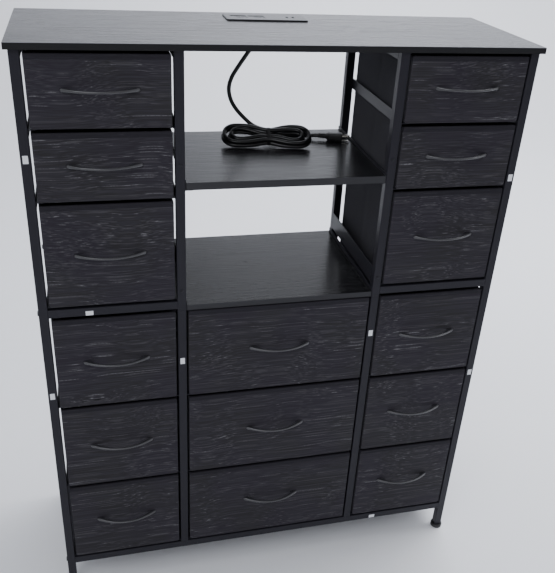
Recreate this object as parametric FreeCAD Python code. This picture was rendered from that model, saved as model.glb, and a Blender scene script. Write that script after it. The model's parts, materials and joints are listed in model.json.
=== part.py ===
"""Tall dresser with a steel frame, fifteen fabric drawers, two open shelves and a power outlet.

Millimetres, +Z up, front towards -Y. The origin is on the floor, midway across the width and
midway between the foremost point of the handles and the back of the rear feet.
"""
import FreeCAD, Part

import math
import os

Vector = FreeCAD.Vector

# Steel frame
tube = 18.0                     # side of the square tube
tube_wall = 1.2
tube_round = 1.5                # rounding of the tube's outer edges
side_bay = 254.0                # clear width between posts, left and right
centre_bay = 406.0              # clear width between posts, centre
frame_depth = 322.0
floor_clearance = 73.0          # floor to the underside of the bottom bars
sleeve_length = 70.0            # joining sleeve inside the two halves of a middle post
sleeve_play = 0.15              # gap between a sleeve or plug and the tube round it
seam_gap = 0.4                  # hairline between the halves of a middle post

# Drawers
large_drawer = 214.0            # height of a tall drawer front
small_drawer = 130.0            # height of a short drawer front
row_gap = 7.0                   # space under every drawer front
head_gap = 6.5                  # space over the top front of a stack
drawer_side_gap = 4.5           # between a front and the post beside it
front_thickness = 5.0
front_proud = 2.0               # how far a front stands before the posts
front_corner = 3.0              # radius of a front's corners
front_edge = 0.8                # rounding of a front's face edge
bin_back_gap = 4.5              # from the back of the bin to the front of the back posts
bin_wall = 2.5
bin_floor = 3.0
bin_drop = 1.5                  # the bin's rim lies this far below the top of its front
bin_seam = 1.2                  # rounding of the seams at the bin's upright corners

# Bow handles
handle_length = 135.0
handle_reach = 24.0             # how far a handle stands before its front
handle_bar = 4.5                # depth of the bar at the middle
handle_foot = 14.0              # length of a foot along the front
handle_toe = 2.5                # depth of the blunt end
handle_end_height = 8.5
handle_mid_height = 5.0
handle_rise = 4.0               # the handle lies this far above the middle of its front
screw_radius = 2.0
screw_play = 0.05
screw_head_radius = 4.0
screw_head_height = 2.2
screw_bite = 4.5                # length of screw inside a handle's foot
cross_depth = 1.0               # cross recess in a screw's head
cross_arm = 0.9                 # width of one arm of the recess
cross_share = 0.9               # length of the recess, as a share of the head's radius

# Runners, shelf angles and stops, bent from sheet
sheet = 1.5
runner_ledge = 14.0             # width of the ledge inside a bay
runner_leg = 22.0               # height of the upright leg
outer_skirt = 17.0              # the leg reaches this far below the ledge, on the end frames
middle_skirt = 7.0              # the same, on the middle frames
seam_runner_leg = 40.0          # the same, for the row above the seam
runner_inset = 2.0              # the ledge starts this far behind the front of the posts
slide_gap = 0.3                 # between a drawer and the ledge under it
stop_height = 12.0
stop_gap = 0.5                  # between the back of a bin and its stop

# Boards
board_thickness = 12.0
board_side_overhang = 7.0
board_front_overhang = 8.0
board_round = 1.0
lower_shelf_thickness = 12.0
lower_shelf_gap = 1.0           # between the top of the drawer front and the shelf's angle
compartment_height = 252.0      # from the lower shelf's top to the upper shelf's underside
upper_shelf_thickness = 15.0
upper_shelf_short = 8.0         # the upper shelf stops this far before the back of the frame
shelf_play = 0.5                # at each end of a shelf

# Feet and fasteners
foot_radius = 15.0
foot_height = 10.0
foot_chamfer = 1.5
foot_plug = 24.0                # length of the plug inside the post
bolt_radius = 3.0
bolt_play = 0.1
bolt_head_radius = 5.5
bolt_head_height = 2.2
bolt_socket = 2.2               # radius of the hexagon socket in a bolt's head
bolt_socket_depth = 1.6
bolt_grip = 14.0                # length of bolt inside a bar's nut block
nut_block = 20.0
post_screw_radius = 1.6
post_screw_head_radius = 3.0
post_screw_head_height = 1.6
post_screw_length = 12.0
post_screw_rise = 34.0          # above the top of the shelf nearby
board_screw_bite = 8.0          # length of screw inside the top board
board_screw_shares = (0.2, 0.8)
rivet_radius = 1.6
rivet_head_radius = 3.0
rivet_head_height = 1.0
rivet_tail = 1.5                # how far a rivet comes out behind the runner's leg
rivet_rise = 10.0               # above the foot of the runner's leg
rivet_shares = (0.3, 0.7)

# Power outlet in the top board
outlet_width = 170.0
outlet_depth = 65.0
outlet_flange = 3.0
outlet_corner = 5.0
outlet_offset = -3.0            # the outlet's middle, from the middle of the board
outlet_back_margin = 34.0       # from the outlet to the back edge of the board
outlet_lip = 5.0                # the flange reaches this far past the body
outlet_body_depth = 40.0        # from the top of the board to the underside of the body
outlet_play = 1.0
face_depth = 0.8                # the recessed face round each pair of sockets
socket_pitch = 37.0
socket_face_width = 33.0
socket_face_depth = 27.0
socket_spacing_share = -0.22    # middle of the pair of mains sockets, of the flange's width
slot_pitch = 12.7
slot_width = 2.2
slot_length = 8.0
earth_radius = 2.4
earth_offset = 8.5
socket_depth = 18.0
usb_width = 5.2
usb_length = 13.0
usb_pitch = 13.0
usb_depth = 11.0
usb_spacing_share = 0.31        # middle of the pair of small ports, of the flange's width
boot_length = 22.0
boot_root_radius = 7.4
boot_tip_radius = 5.3

# Mains lead, hank and plug
cord_diameter = 9.0
rest_gap = 0.3                  # what lies on the shelf clears it by this much
hank_middle_x = 4.3             # the tie
hank_middle_y = 58.0
hank_turns = 4
hank_left_reach = 71.0          # from the tie to the middle of the left end's turns
hank_right_reach = 64.0
hank_half_width = 20.5          # from the hank's axis to the middle of its two rings
hank_waist = 10.6               # the same, at the tie
hank_spread_share = 0.8         # the lines are at their widest this far out, of the reach
ring_pitch = 10.0               # between the two rings and between the two layers
turn_reach_changes = (0.0, -6.0, -3.0, 2.0)     # how much further each turn goes, at both ends
turn_sways = (0.0, -2.0, -5.0, 1.5)             # each turn's front run stands out this much
climb_stations = 4              # stations along the back in which a turn reaches its next place
hank_tilt = 26.0                # degrees, the back of the hank is the higher side
hank_yaw = -8.0                 # degrees, its right end is nearer to the front
tie_length = 7.0
tie_wall = 1.2
tie_front = 20.5                # inner sides of the tie, from the hank's axis
tie_back = 25.6
tie_above = 12.0
tie_front_below = 9.9
tie_back_below = 19.8           # deeper, since the tail passes there
tie_round = 4.0
relief_length = 18.0
relief_root_radius = 7.0
relief_tip_radius = 5.8
relief_rings = 4
plug_length = 36.0
plug_width = 23.0
plug_height = 18.0
plug_round = 5.0
plug_yaw = -17.5                # degrees, the blades point towards the front right
blade_length = 17.0
blade_width = 6.3
blade_thickness = 1.5
earth_pin_radius = 2.4
earth_pin_offset = 7.0

overrun = 10.0                  # how far a cutting shape runs past what it cuts

# Levels
bar_top = floor_clearance + tube
lower_heights = [large_drawer] * 3
upper_heights = [large_drawer, small_drawer, small_drawer]


def stack(base, heights):
    """Bottom and height of each drawer front in a stack that starts over the level base."""
    rows = []
    for height in heights:
        base = base + row_gap
        rows.append((base, height))
        base = base + height
    return rows, base


lower_rows, lower_top = stack(bar_top, lower_heights)
crossbar_bottom = lower_top + head_gap
crossbar_top = crossbar_bottom + tube
upper_rows, upper_top = stack(crossbar_top, upper_heights)
board_bottom = upper_top + head_gap
board_top = board_bottom + board_thickness
lower_shelf_bottom = lower_top + lower_shelf_gap + sheet
lower_shelf_top = lower_shelf_bottom + lower_shelf_thickness
upper_shelf_bottom = lower_shelf_top + compartment_height
upper_shelf_top = upper_shelf_bottom + upper_shelf_thickness
seam = lower_shelf_bottom

# Places across the width
inner_post = centre_bay / 2
outer_bay = inner_post + tube
outer_post = outer_bay + side_bay
frame_side = outer_post + tube
board_side = frame_side + board_side_overhang
bays = {
    "left": (-outer_post, -outer_bay),
    "centre": (-inner_post, inner_post),
    "right": (outer_bay, outer_post),
}

# Places from front to back
front_reach = front_proud + handle_reach
foot_overhang = foot_radius - tube / 2
frame_front = front_reach - (front_reach + frame_depth + foot_overhang) / 2
frame_back = frame_front + frame_depth
post_back = frame_front + tube          # back of the front posts
back_post = frame_back - tube           # front of the back posts
panel_face = frame_front - front_proud
panel_back = panel_face + front_thickness
bin_back = back_post - bin_back_gap
ledge_front = frame_front + runner_inset
stop_front = bin_back + stop_gap
ledge_back = stop_front + sheet
bore = tube / 2 - tube_wall             # half the tube's inner side


def block(x0, x1, y0, y1, z0, z1):
    """Box between two values on each axis."""
    return Part.makeBox(x1 - x0, y1 - y0, z1 - z0, Vector(x0, y0, z0))


def drill(centre, direction, length, radius):
    """Cylinder from a point along a direction."""
    return Part.makeCylinder(radius, length, centre, direction)


def fuse(shapes):
    """One solid from shapes that touch or overlap."""
    whole = shapes[0].fuse(shapes[1:]) if len(shapes) > 1 else shapes[0]
    return whole.removeSplitter()


same_way = 0.001                # radians between two directions that count as one


def round_edges(solid, radius, wanted):
    """Fillet the edges whose test says so."""
    edges = [edge for edge in solid.Edges if wanted(edge)]
    return solid.makeFillet(radius, edges)


def along(edge, axis):
    """True for a straight edge that runs along one axis."""
    first, last = edge.Vertexes[0].Point, edge.Vertexes[-1].Point
    span = last - first
    return span.Length > 0 and span.getAngle(axis) % math.pi < same_way


def rounded_bar(solid, axis):
    """Bar with its long edges rounded as on drawn tube."""
    return round_edges(solid, tube_round, lambda edge: along(edge, axis))


def post_tube(x0, y0, z0, z1):
    """Upright square tube, open at both ends."""
    middle = Vector(x0 + tube / 2, y0 + tube / 2, 0)
    solid = rounded_bar(block(x0, x0 + tube, y0, y0 + tube, z0, z1), Vector(0, 0, 1))
    hollow = block(middle.x - bore, middle.x + bore, middle.y - bore, middle.y + bore,
                   z0 - overrun, z1 + overrun)
    return solid.cut(hollow)


def bar_tube(x0, x1, y0, z0):
    """Square tube along the width."""
    y, z = y0 + tube / 2, z0 + tube / 2
    solid = rounded_bar(block(x0, x1, y0, y0 + tube, z0, z0 + tube), Vector(1, 0, 0))
    return solid.cut(block(x0 - overrun, x1 + overrun, y - bore, y + bore, z - bore, z + bore))


def rail_tube(x0, z0):
    """Square tube from a front post to the back post behind it."""
    x, z = x0 + tube / 2, z0 + tube / 2
    solid = rounded_bar(block(x0, x0 + tube, post_back, back_post, z0, z0 + tube),
                        Vector(0, 1, 0))
    hollow = block(x - bore, x + bore, post_back - overrun, back_post + overrun, z - bore, z + bore)
    return solid.cut(hollow)


def share_places(shares):
    """Places along a rail, from shares of its length."""
    return [post_back + share * (back_post - post_back) for share in shares]


def export(name, solids):
    """Write one node as a STEP file."""
    shape = solids[0] if len(solids) == 1 else Part.makeCompound(solids)
    for solid in shape.Solids:
        if not solid.isValid():
            print("not valid:", name)
    if len(shape.Solids) != len(solids):
        print("solids of", name, len(shape.Solids), "wanted", len(solids))
    shape.exportStep("parts/" + name + ".step")


def runner(x0, level, leg_x, leg_height, left_ledge, right_ledge):
    """Bent angle between the posts of a side frame, with a ledge into the bays it serves.

    x0 is the left face of the posts, level the underside of the drawer that slides on it.
    """
    top = level - slide_gap
    bottom = top - sheet
    pieces = [
        block(x0, x0 + tube, post_back, back_post, bottom, top),
        block(leg_x, leg_x + sheet, post_back, back_post, bottom, bottom + leg_height),
    ]
    sides = []
    if left_ledge:
        sides.append((x0 - runner_ledge, x0))
    if right_ledge:
        sides.append((x0 + tube, x0 + tube + runner_ledge))
    for side_0, side_1 in sides:
        pieces.append(block(side_0, side_1, ledge_front, ledge_back, bottom, top))
        pieces.append(block(side_0, side_1, stop_front, ledge_back, bottom, top + stop_height))
    return fuse(pieces)


def bay_runner(face, into, level, skirt):
    """Pressed runner on the side of a frame that faces one bay: a ledge on an upright leg.

    The leg lies between the posts, reaches skirt below the ledge and ends on the bottom rail
    where that is near. face is where the bay begins, into is -1 or 1 along x, from the frame
    into the bay.
    """
    top = level - slide_gap
    bottom = top - sheet
    leg_foot = bottom - skirt
    tip = face + into * runner_ledge
    back = face - into * sheet
    root, ledge = sorted((back, tip)), sorted((face, tip))
    leg = sorted((back, face))
    return fuse([
        block(leg[0], leg[1], post_back, back_post, max(leg_foot, bar_top),
              leg_foot + runner_leg),
        block(root[0], root[1], post_back, back_post, bottom, top),
        block(ledge[0], ledge[1], ledge_front, ledge_back, bottom, top),
        block(ledge[0], ledge[1], stop_front, ledge_back, bottom, top + stop_height),
    ])


def shelf_angle(side, shelf_bottom):
    """Angle on the centre face of a middle frame, under one end of a shelf."""
    face = side * inner_post
    inner = face - side * sheet
    tip = face - side * runner_ledge
    bottom = shelf_bottom - sheet
    leg = block(min(face, inner), max(face, inner), ledge_front, frame_back, bottom,
                bottom + runner_leg)
    ledge = block(min(face, tip), max(face, tip), ledge_front, frame_back, bottom, shelf_bottom)
    return fuse([leg, ledge])


def board_screw_holes(x0):
    """Holes for the two screws that hold the top board on one side frame."""
    holes = []
    for y in share_places(board_screw_shares):
        base = Vector(x0 + tube / 2, y, board_bottom - tube - overrun)
        length = overrun + tube + board_screw_bite
        holes.append(drill(base, Vector(0, 0, 1), length, screw_radius + screw_play))
    return holes


def bar_bolt_places():
    """Height and side of every bolt through an outer post into a bar."""
    places = []
    for side in (-1, 1):
        for y0 in (frame_front, back_post):
            for z0 in (floor_clearance, crossbar_bottom):
                places.append((side, y0 + tube / 2, z0 + tube / 2))
    return places


def bolt_holes():
    """Holes through the outer posts and a little way into the nut blocks."""
    holes = []
    for side, y, z in bar_bolt_places():
        base = Vector(side * (frame_side + overrun), y, z)
        length = overrun + tube + bolt_grip + bolt_play
        holes.append(drill(base, Vector(-side, 0, 0), length, bolt_radius + bolt_play))
    return holes


def post_screw_places():
    """Front of the middle posts, a little above each shelf."""
    places = []
    for side in (-1, 1):
        for shelf_top in (lower_shelf_top, upper_shelf_top):
            places.append(Vector(side * (inner_post + tube / 2), frame_front,
                                 shelf_top + post_screw_rise))
    return places


def rivet_places():
    """Rivets through the upright legs of the runners just over the seam of the middle frames."""
    height = upper_rows[0][0] - slide_gap - sheet + rivet_rise
    return [(side, Vector(side * inner_post, y, height))
            for side in (-1, 1) for y in share_places(rivet_shares)]


def make_boards():
    """Top board with its cut-out, and the two shelves of the centre bay."""
    board = block(-board_side, board_side, frame_front - board_front_overhang, frame_back,
                  board_bottom, board_top)
    board = round_edges(board, board_round, lambda edge: edge.Vertexes[0].Point.z > board_bottom
                        and not along(edge, Vector(0, 0, 1)))
    body = outlet_body_box(outlet_play)
    cuts = [body] + [hole for x0 in frame_lefts for hole in board_screw_holes(x0)]
    export("top_board", [board.cut(cuts)])

    half = inner_post - sheet - shelf_play
    upper = block(-half, half, frame_front, frame_back - upper_shelf_short,
                  upper_shelf_bottom, upper_shelf_top)
    lower = block(-half, half, frame_front, frame_back, lower_shelf_bottom, lower_shelf_top)
    export("upper_shelf", [upper])
    export("lower_shelf", [lower])


frame_lefts = (-frame_side, -outer_bay, inner_post, outer_post)
foot_top = foot_height


def make_outer_frame(name, x0, side):
    """Side frame at one end: two tall posts, two rails and six runners."""
    holes = bolt_holes()
    solids = []
    for y0 in (frame_front, back_post):
        post = post_tube(x0, y0, foot_top, board_bottom)
        solids.append(post.cut(holes))
    solids.append(rail_tube(x0, board_bottom - tube).cut(board_screw_holes(x0)))
    solids.append(rail_tube(x0, floor_clearance))
    for level, height in lower_rows + upper_rows:
        solids.append(bay_runner(side * outer_post, -side, level, outer_skirt))
    export(name, solids)


def make_middle_frame(name, x0, side):
    """Side frame beside the centre bay, cut in two halves at the lower shelf."""
    screw_holes = [drill(place - Vector(0, overrun, 0), Vector(0, 1, 0),
                         overrun + post_screw_length, post_screw_radius + screw_play)
                   for place in post_screw_places()]
    solids = []
    middle_x = x0 + tube / 2
    grip = bore - sleeve_play
    for y0 in (frame_front, back_post):
        solids.append(post_tube(x0, y0, bar_top, seam - seam_gap / 2).cut(screw_holes))
        solids.append(post_tube(x0, y0, seam + seam_gap / 2, board_bottom).cut(screw_holes))
        middle_y = y0 + tube / 2
        sleeve = block(middle_x - grip, middle_x + grip, middle_y - grip, middle_y + grip,
                       seam - sleeve_length / 2, seam + sleeve_length / 2)
        solids.append(sleeve.cut(screw_holes))
    solids.append(rail_tube(x0, board_bottom - tube).cut(board_screw_holes(x0)))
    solids.append(rail_tube(x0, floor_clearance))
    leg_x = x0 if side > 0 else x0 + tube - sheet
    for level, height in lower_rows:
        solids.append(runner(x0, level, middle_x - sheet / 2, runner_leg, True, True))
    rivet_holes = [drill(place, Vector(way, 0, 0), sheet, rivet_radius)
                   for way, place in rivet_places()]
    seam_row = upper_rows[0][0]
    solids.append(runner(x0, seam_row, leg_x, seam_runner_leg, side < 0,
                         side > 0).cut(rivet_holes))
    for level, height in upper_rows:
        if level != seam_row:
            solids.append(bay_runner(side * outer_bay, side, level, middle_skirt))
    solids.append(shelf_angle(side, lower_shelf_bottom))
    solids.append(shelf_angle(side, upper_shelf_bottom))
    export(name, solids)


def make_bars():
    """Bars along the width, with the nut blocks in the ends that take a bolt."""
    holes = bolt_holes()
    solids = []
    for y0 in (frame_front, back_post):
        solids.append(bar_tube(-outer_post, outer_post, y0, floor_clearance))
        for side in (-1, 1):
            ends = sorted((side * outer_bay, side * outer_post))
            solids.append(bar_tube(ends[0], ends[1], y0, crossbar_bottom))
    grip = bore - sleeve_play
    for side, y, z in bar_bolt_places():
        ends = sorted((side * outer_post, side * (outer_post - nut_block)))
        nut = block(ends[0], ends[1], y - grip, y + grip, z - grip, z + grip)
        solids.append(nut.cut(holes))
    export("crossbars", solids)


def make_feet():
    """Round glides, each with a square plug inside an outer post."""
    solids = []
    for x0 in (frame_lefts[0], frame_lefts[-1]):
        for y0 in (frame_front, back_post):
            centre = Vector(x0 + tube / 2, y0 + tube / 2, 0)
            disc = Part.makeCylinder(foot_radius, foot_height, centre)
            disc = round_disc(disc)
            grip = bore - sleeve_play
            plug = block(centre.x - grip, centre.x + grip, centre.y - grip, centre.y + grip,
                         foot_height - foot_chamfer, foot_height + foot_plug)
            solids.append(fuse([disc, plug]))
    export("feet", solids)


def round_disc(disc):
    """Chamfer the rims of a glide."""
    rims = [edge for edge in disc.Edges if edge.Closed]
    return disc.makeChamfer(foot_chamfer, rims)


def pan_head(place, direction, radius, height):
    """Domed head that lies before place, and the middle of its top."""
    top = place - direction * height
    head = drill(top, direction, height, radius)
    rim = [edge for edge in head.Edges if edge.Closed
           and (edge.CenterOfMass - top).Length < height / 2]
    return head.makeFillet(height / 2, rim), top


def pan_screw(place, direction, length, radius, head_radius, head_height):
    """Screw with a cross recess; its shank runs from place along direction."""
    head, top = pan_head(place, direction, head_radius, head_height)
    screw = fuse([head, drill(place, direction, length, radius)])
    depth = min(cross_depth, head_height / 2)
    side = Vector(direction.z, direction.x, direction.y)
    arms = []
    for way in (side, direction.cross(side)):
        across = direction.cross(way)
        start = top - way * head_radius * cross_share / 2 - across * cross_arm / 2
        face = Part.makePolygon([start, start + way * head_radius * cross_share,
                                 start + way * head_radius * cross_share + across * cross_arm,
                                 start + across * cross_arm, start])
        arms.append(Part.Face(face).extrude(direction * depth))
    return screw.cut(arms)


def socket_bolt(place, direction):
    """Bolt with a hexagon socket; its shank runs from place along direction."""
    head, top = pan_head(place, direction, bolt_head_radius, bolt_head_height)
    bolt = fuse([head, drill(place, direction, tube + bolt_grip, bolt_radius)])
    side = Vector(direction.z, direction.x, direction.y)
    turned = direction.cross(side)
    sixth = math.pi / 3
    corners = [top + (side * math.cos(step * sixth) + turned * math.sin(step * sixth)) * bolt_socket
               for step in range(7)]
    return bolt.cut(Part.Face(Part.makePolygon(corners)).extrude(direction * bolt_socket_depth))


def make_fasteners():
    """Bolts through the outer posts, screws in the middle posts and under the top board."""
    solids = []
    for side, y, z in bar_bolt_places():
        solids.append(socket_bolt(Vector(side * frame_side, y, z), Vector(-side, 0, 0)))
    for place in post_screw_places():
        solids.append(pan_screw(place, Vector(0, 1, 0), post_screw_length, post_screw_radius,
                                post_screw_head_radius, post_screw_head_height))
    for x0 in frame_lefts:
        for y in share_places(board_screw_shares):
            solids.append(pan_screw(Vector(x0 + tube / 2, y, board_bottom - tube),
                                    Vector(0, 0, 1), tube + board_screw_bite - screw_play,
                                    screw_radius, screw_head_radius, screw_head_height))
    for side, place in rivet_places():
        direction = Vector(side, 0, 0)
        head, top = pan_head(place, direction, rivet_head_radius, rivet_head_height)
        solids.append(fuse([head, drill(place, direction, sheet + rivet_tail, rivet_radius)]))
    export("frame_fasteners", solids)


def handle_screw_places(middle_x, middle_z):
    """Axes of a handle's two screws, at the middles of its feet."""
    half = (handle_length - handle_foot) / 2
    return [Vector(middle_x + side * half, panel_face, middle_z) for side in (-1, 1)]


def bin_panels(x0, x1, level, rim, holes):
    """Fabric bin of five stiffened panels that meet at their seams: floor, sides, back, front."""
    def at_corner(edge):
        return along(edge, Vector(0, 0, 1)) and outer_corner(edge.CenterOfMass)

    def outer_corner(point):
        at_side = min(point.x - x0, x1 - point.x) < bin_wall / 2
        return at_side and point.y > bin_back - bin_wall / 2

    wall_bottom = level + bin_floor
    floor = block(x0, x1, panel_back, bin_back, level, wall_bottom)
    sides = [block(x, x + bin_wall, panel_back, bin_back, wall_bottom, rim)
             for x in (x0, x1 - bin_wall)]
    back = block(x0 + bin_wall, x1 - bin_wall, bin_back - bin_wall, bin_back, wall_bottom, rim)
    front = block(x0 + bin_wall, x1 - bin_wall, panel_back, panel_back + bin_wall,
                  wall_bottom, rim)
    rounded = [round_edges(panel, bin_seam, at_corner) for panel in [floor] + sides]
    return rounded + [back, front.cut(holes)]


def make_drawer(column, number, level, height):
    """Fabric bin, printed front and bow handle of one drawer."""
    bay_0, bay_1 = bays[column]
    x0, x1 = bay_0 + drawer_side_gap, bay_1 - drawer_side_gap
    middle_x = (x0 + x1) / 2
    handle_z = level + height / 2 + handle_rise
    name = column + "_drawer_" + str(number)
    screw_places = handle_screw_places(middle_x, handle_z)
    holes = [drill(place - Vector(0, screw_bite, 0), Vector(0, 1, 0),
                   screw_bite + front_thickness + bin_wall + overrun, screw_radius + screw_play)
             for place in screw_places]

    front = block(x0, x1, panel_face, panel_back, level, level + height)
    front = round_edges(front, front_corner, lambda edge: along(edge, Vector(0, 1, 0)))
    front = round_edges(front, front_edge,
                        lambda edge: edge.BoundBox.YMax < panel_face + front_edge / 2)
    export(name + "_front", [front.cut(holes)])

    rim = level + height - bin_drop
    export(name + "_bin", bin_panels(x0, x1, level, rim, holes))

    handle = make_handle(middle_x, handle_z).cut(holes)
    screws = [pan_screw(Vector(place.x, panel_back + bin_wall, place.z), Vector(0, -1, 0),
                        bin_wall + front_thickness + screw_bite - screw_play, screw_radius,
                        screw_head_radius, screw_head_height)
              for place in screw_places]
    export(name + "_handle", [handle] + screws)


def make_handle(middle_x, middle_z):
    """Bowed bar: a crescent in plan, cut to a waisted height in front view."""
    half = handle_length / 2
    inner_half = half - handle_foot
    face = panel_face
    tall = handle_end_height / 2
    slim = handle_mid_height / 2

    def plan(x, y):
        return Vector(middle_x + x, face - y, middle_z - tall)

    crescent = Part.Wire([
        Part.LineSegment(plan(-half, 0), plan(-half, handle_toe)).toShape(),
        Part.Arc(plan(-half, handle_toe), plan(0, handle_reach), plan(half, handle_toe)).toShape(),
        Part.LineSegment(plan(half, handle_toe), plan(half, 0)).toShape(),
        Part.LineSegment(plan(half, 0), plan(inner_half, 0)).toShape(),
        Part.Arc(plan(inner_half, 0), plan(0, handle_reach - handle_bar),
                 plan(-inner_half, 0)).toShape(),
        Part.LineSegment(plan(-inner_half, 0), plan(-half, 0)).toShape(),
    ])
    bar = Part.Face(crescent).extrude(Vector(0, 0, handle_end_height))

    def view(x, z):
        return Vector(middle_x + x, face, middle_z + z)

    waist = Part.Wire([
        Part.Arc(view(-half, tall), view(0, slim), view(half, tall)).toShape(),
        Part.LineSegment(view(half, tall), view(half, -tall)).toShape(),
        Part.Arc(view(half, -tall), view(0, -slim), view(-half, -tall)).toShape(),
        Part.LineSegment(view(-half, -tall), view(-half, tall)).toShape(),
    ])
    outline = Part.Face(waist).extrude(Vector(0, -handle_reach, 0))
    bowed = bar.common(outline)
    return bowed.Solids[0]


def outlet_middle():
    """Middle of the outlet, at the top of the board."""
    return Vector(outlet_offset, frame_back - outlet_back_margin - outlet_depth / 2, board_top)


def outlet_body_box(play):
    """The outlet's body, grown by play for the hole that it passes through."""
    middle = outlet_middle()
    half_x = outlet_width / 2 - outlet_lip + play
    half_y = outlet_depth / 2 - outlet_lip + play
    return block(middle.x - half_x, middle.x + half_x, middle.y - half_y, middle.y + half_y,
                 board_top - outlet_body_depth, board_top)


def make_outlet():
    """Outlet housing with its mains sockets and small ports, and the boot of its lead."""
    middle = outlet_middle()
    flange = block(middle.x - outlet_width / 2, middle.x + outlet_width / 2,
                   middle.y - outlet_depth / 2, middle.y + outlet_depth / 2,
                   board_top, board_top + outlet_flange)
    flange = round_edges(flange, outlet_corner, lambda edge: along(edge, Vector(0, 0, 1)))
    flange = round_edges(flange, outlet_flange / 2,
                         lambda edge: edge.BoundBox.ZMin > board_top + outlet_flange / 2)
    housing = fuse([flange, outlet_body_box(0)])
    top = board_top + outlet_flange
    cuts = []
    pair_x = middle.x + socket_spacing_share * outlet_width
    for side in (-1, 1):
        x = pair_x + side * socket_pitch / 2
        cuts.append(block(x - socket_face_width / 2, x + socket_face_width / 2,
                          middle.y - socket_face_depth / 2, middle.y + socket_face_depth / 2,
                          top - face_depth, top + overrun))
        for slot_side in (-1, 1):
            slot_y = middle.y + slot_side * slot_pitch / 2
            cuts.append(block(x - slot_length / 2, x + slot_length / 2,
                              slot_y - slot_width / 2, slot_y + slot_width / 2,
                              top - socket_depth, top + overrun))
        cuts.append(drill(Vector(x + earth_offset, middle.y, top - socket_depth),
                          Vector(0, 0, 1), socket_depth + overrun, earth_radius))
    port_x = middle.x + usb_spacing_share * outlet_width
    for side in (-1, 1):
        x = port_x + side * usb_pitch / 2
        cuts.append(block(x - usb_width / 2, x + usb_width / 2,
                          middle.y - usb_length / 2, middle.y + usb_length / 2,
                          top - usb_depth, top + overrun))
    housing = housing.cut(cuts)

    exit_point, exit_way = lead_points[0], lead_direction(lead_points)
    root = exit_point - exit_way * boot_length
    cone = Part.makeCone(boot_root_radius, boot_tip_radius, boot_length, root, exit_way)
    inner_end = drill(root - exit_way * overrun, exit_way, overrun, boot_root_radius)
    underside = board_top - outlet_body_depth
    cover = block(root.x - overrun - boot_length, root.x + overrun + boot_length,
                  root.y - overrun - boot_length, root.y + overrun + boot_length,
                  underside, board_top)
    boot = fuse([cone, inner_end]).cut(cover)
    export("power_outlet", [housing, boot.Solids[0]])


# Route of the hanging lead, from the tip of the boot to the start of the hank
lead_points = [Vector(*point) for point in (
    (-30.0, 103.0, 1234.0),
    (-45.2, 103.0, 1212.5),
    (-58.7, 102.8, 1192.6),
    (-71.8, 102.4, 1172.4),
    (-78.3, 101.8, 1148.1),
    (-72.8, 100.8, 1123.2),
    (-59.5, 98.9, 1102.3),
    (-42.5, 96.0, 1084.9),
)]


def lead_direction(points):
    """Unit vector from the first of two points to the second."""
    return (points[1] - points[0]).normalize()


cut_share = 0.45                # how much of the shorter run an arc takes up


def rounded_path(points):
    """Straight runs joined by tangent arcs, each as large as its two runs allow."""
    edges, radii = [], []
    start = points[0]
    for before, corner, after in zip(points, points[1:], points[2:]):
        way_in, way_out = (corner - before), (after - corner)
        cut = cut_share * min(way_in.Length, way_out.Length)
        turn = way_in.getAngle(way_out)
        radii.append(cut / math.tan(turn / 2))
        way_in.normalize()
        way_out.normalize()
        arc_start, arc_end = corner - way_in * cut, corner + way_out * cut
        bisector = (way_out - way_in).normalize()
        sagitta_point = corner + bisector * (radii[-1] / math.cos(turn / 2) - radii[-1])
        edges.append(Part.LineSegment(start, arc_start).toShape())
        edges.append(Part.Arc(arc_start, sagitta_point, arc_end).toShape())
        start = arc_end
    edges.append(Part.LineSegment(start, points[-1]).toShape())
    return Part.Wire(edges), radii


def tube_along(path, start, way, name):
    """Round cord along a path, with its volume set against section times length."""
    circle = Part.Wire(Part.Circle(start, way, cord_diameter / 2).toShape())
    solid = path.makePipeShell([circle], True, False)
    solid = Part.Solid(solid) if solid.ShapeType == "Shell" else solid
    wanted = math.pi * (cord_diameter / 2) ** 2 * path.Length
    print(name, "length", round(path.Length, 1), "volume share", round(solid.Volume / wanted, 4))
    return solid


def make_lead():
    """The stretch of cord that hangs from the outlet to the hank."""
    path, radii = rounded_path(lead_points)
    print("lead radii", [round(radius, 1) for radius in radii])
    export("cord_lead", [tube_along(path, lead_points[0], lead_direction(lead_points), "lead")])


def biarc(start, start_way, end, end_way):
    """Two arcs that leave start and reach end along the given directions."""
    chord = end - start
    sway = start_way + end_way
    twist = 2 * (1 - start_way.dot(end_way))
    along_sway = chord.dot(sway)
    if start_way.getAngle(end_way) < same_way:
        reach = chord.dot(chord) / chord.dot(end_way) / 4
    else:
        reach = (math.sqrt(along_sway ** 2 + twist * chord.dot(chord)) - along_sway) / twist
    corner_0, corner_1 = start + start_way * reach, end - end_way * reach
    joint = (corner_0 + corner_1) / 2
    return [arc_edge(start, corner_0, joint), arc_edge(joint, corner_1, end)]


def arc_edge(start, corner, end):
    """Arc whose tangents at start and end meet at corner."""
    middle = (start + end) / 2
    rise = corner - middle
    if (corner - start).getAngle(end - corner) < same_way:
        return Part.LineSegment(start, end).toShape()
    cosine = (start - middle).Length / (start - corner).Length
    return Part.Arc(start, middle + rise * (cosine / (1 + cosine)), end).toShape()


def hank_frame():
    """Centre of the hank and the directions of its length, its width and its thickness."""
    tilt, yaw = math.radians(hank_tilt), math.radians(hank_yaw)
    lengthwise = Vector(math.cos(yaw), math.sin(yaw), 0)
    aside = Vector(-math.sin(yaw), math.cos(yaw), 0)
    across = aside * math.cos(tilt) + Vector(0, 0, math.sin(tilt))
    over = lengthwise.cross(across)
    sink = (hank_half_width + ring_pitch / 2) * across.z + ring_pitch / 2 * over.z
    height = upper_shelf_top + rest_gap + cord_diameter / 2 + sink
    return Vector(hank_middle_x, hank_middle_y, height), lengthwise, across, over


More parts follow.
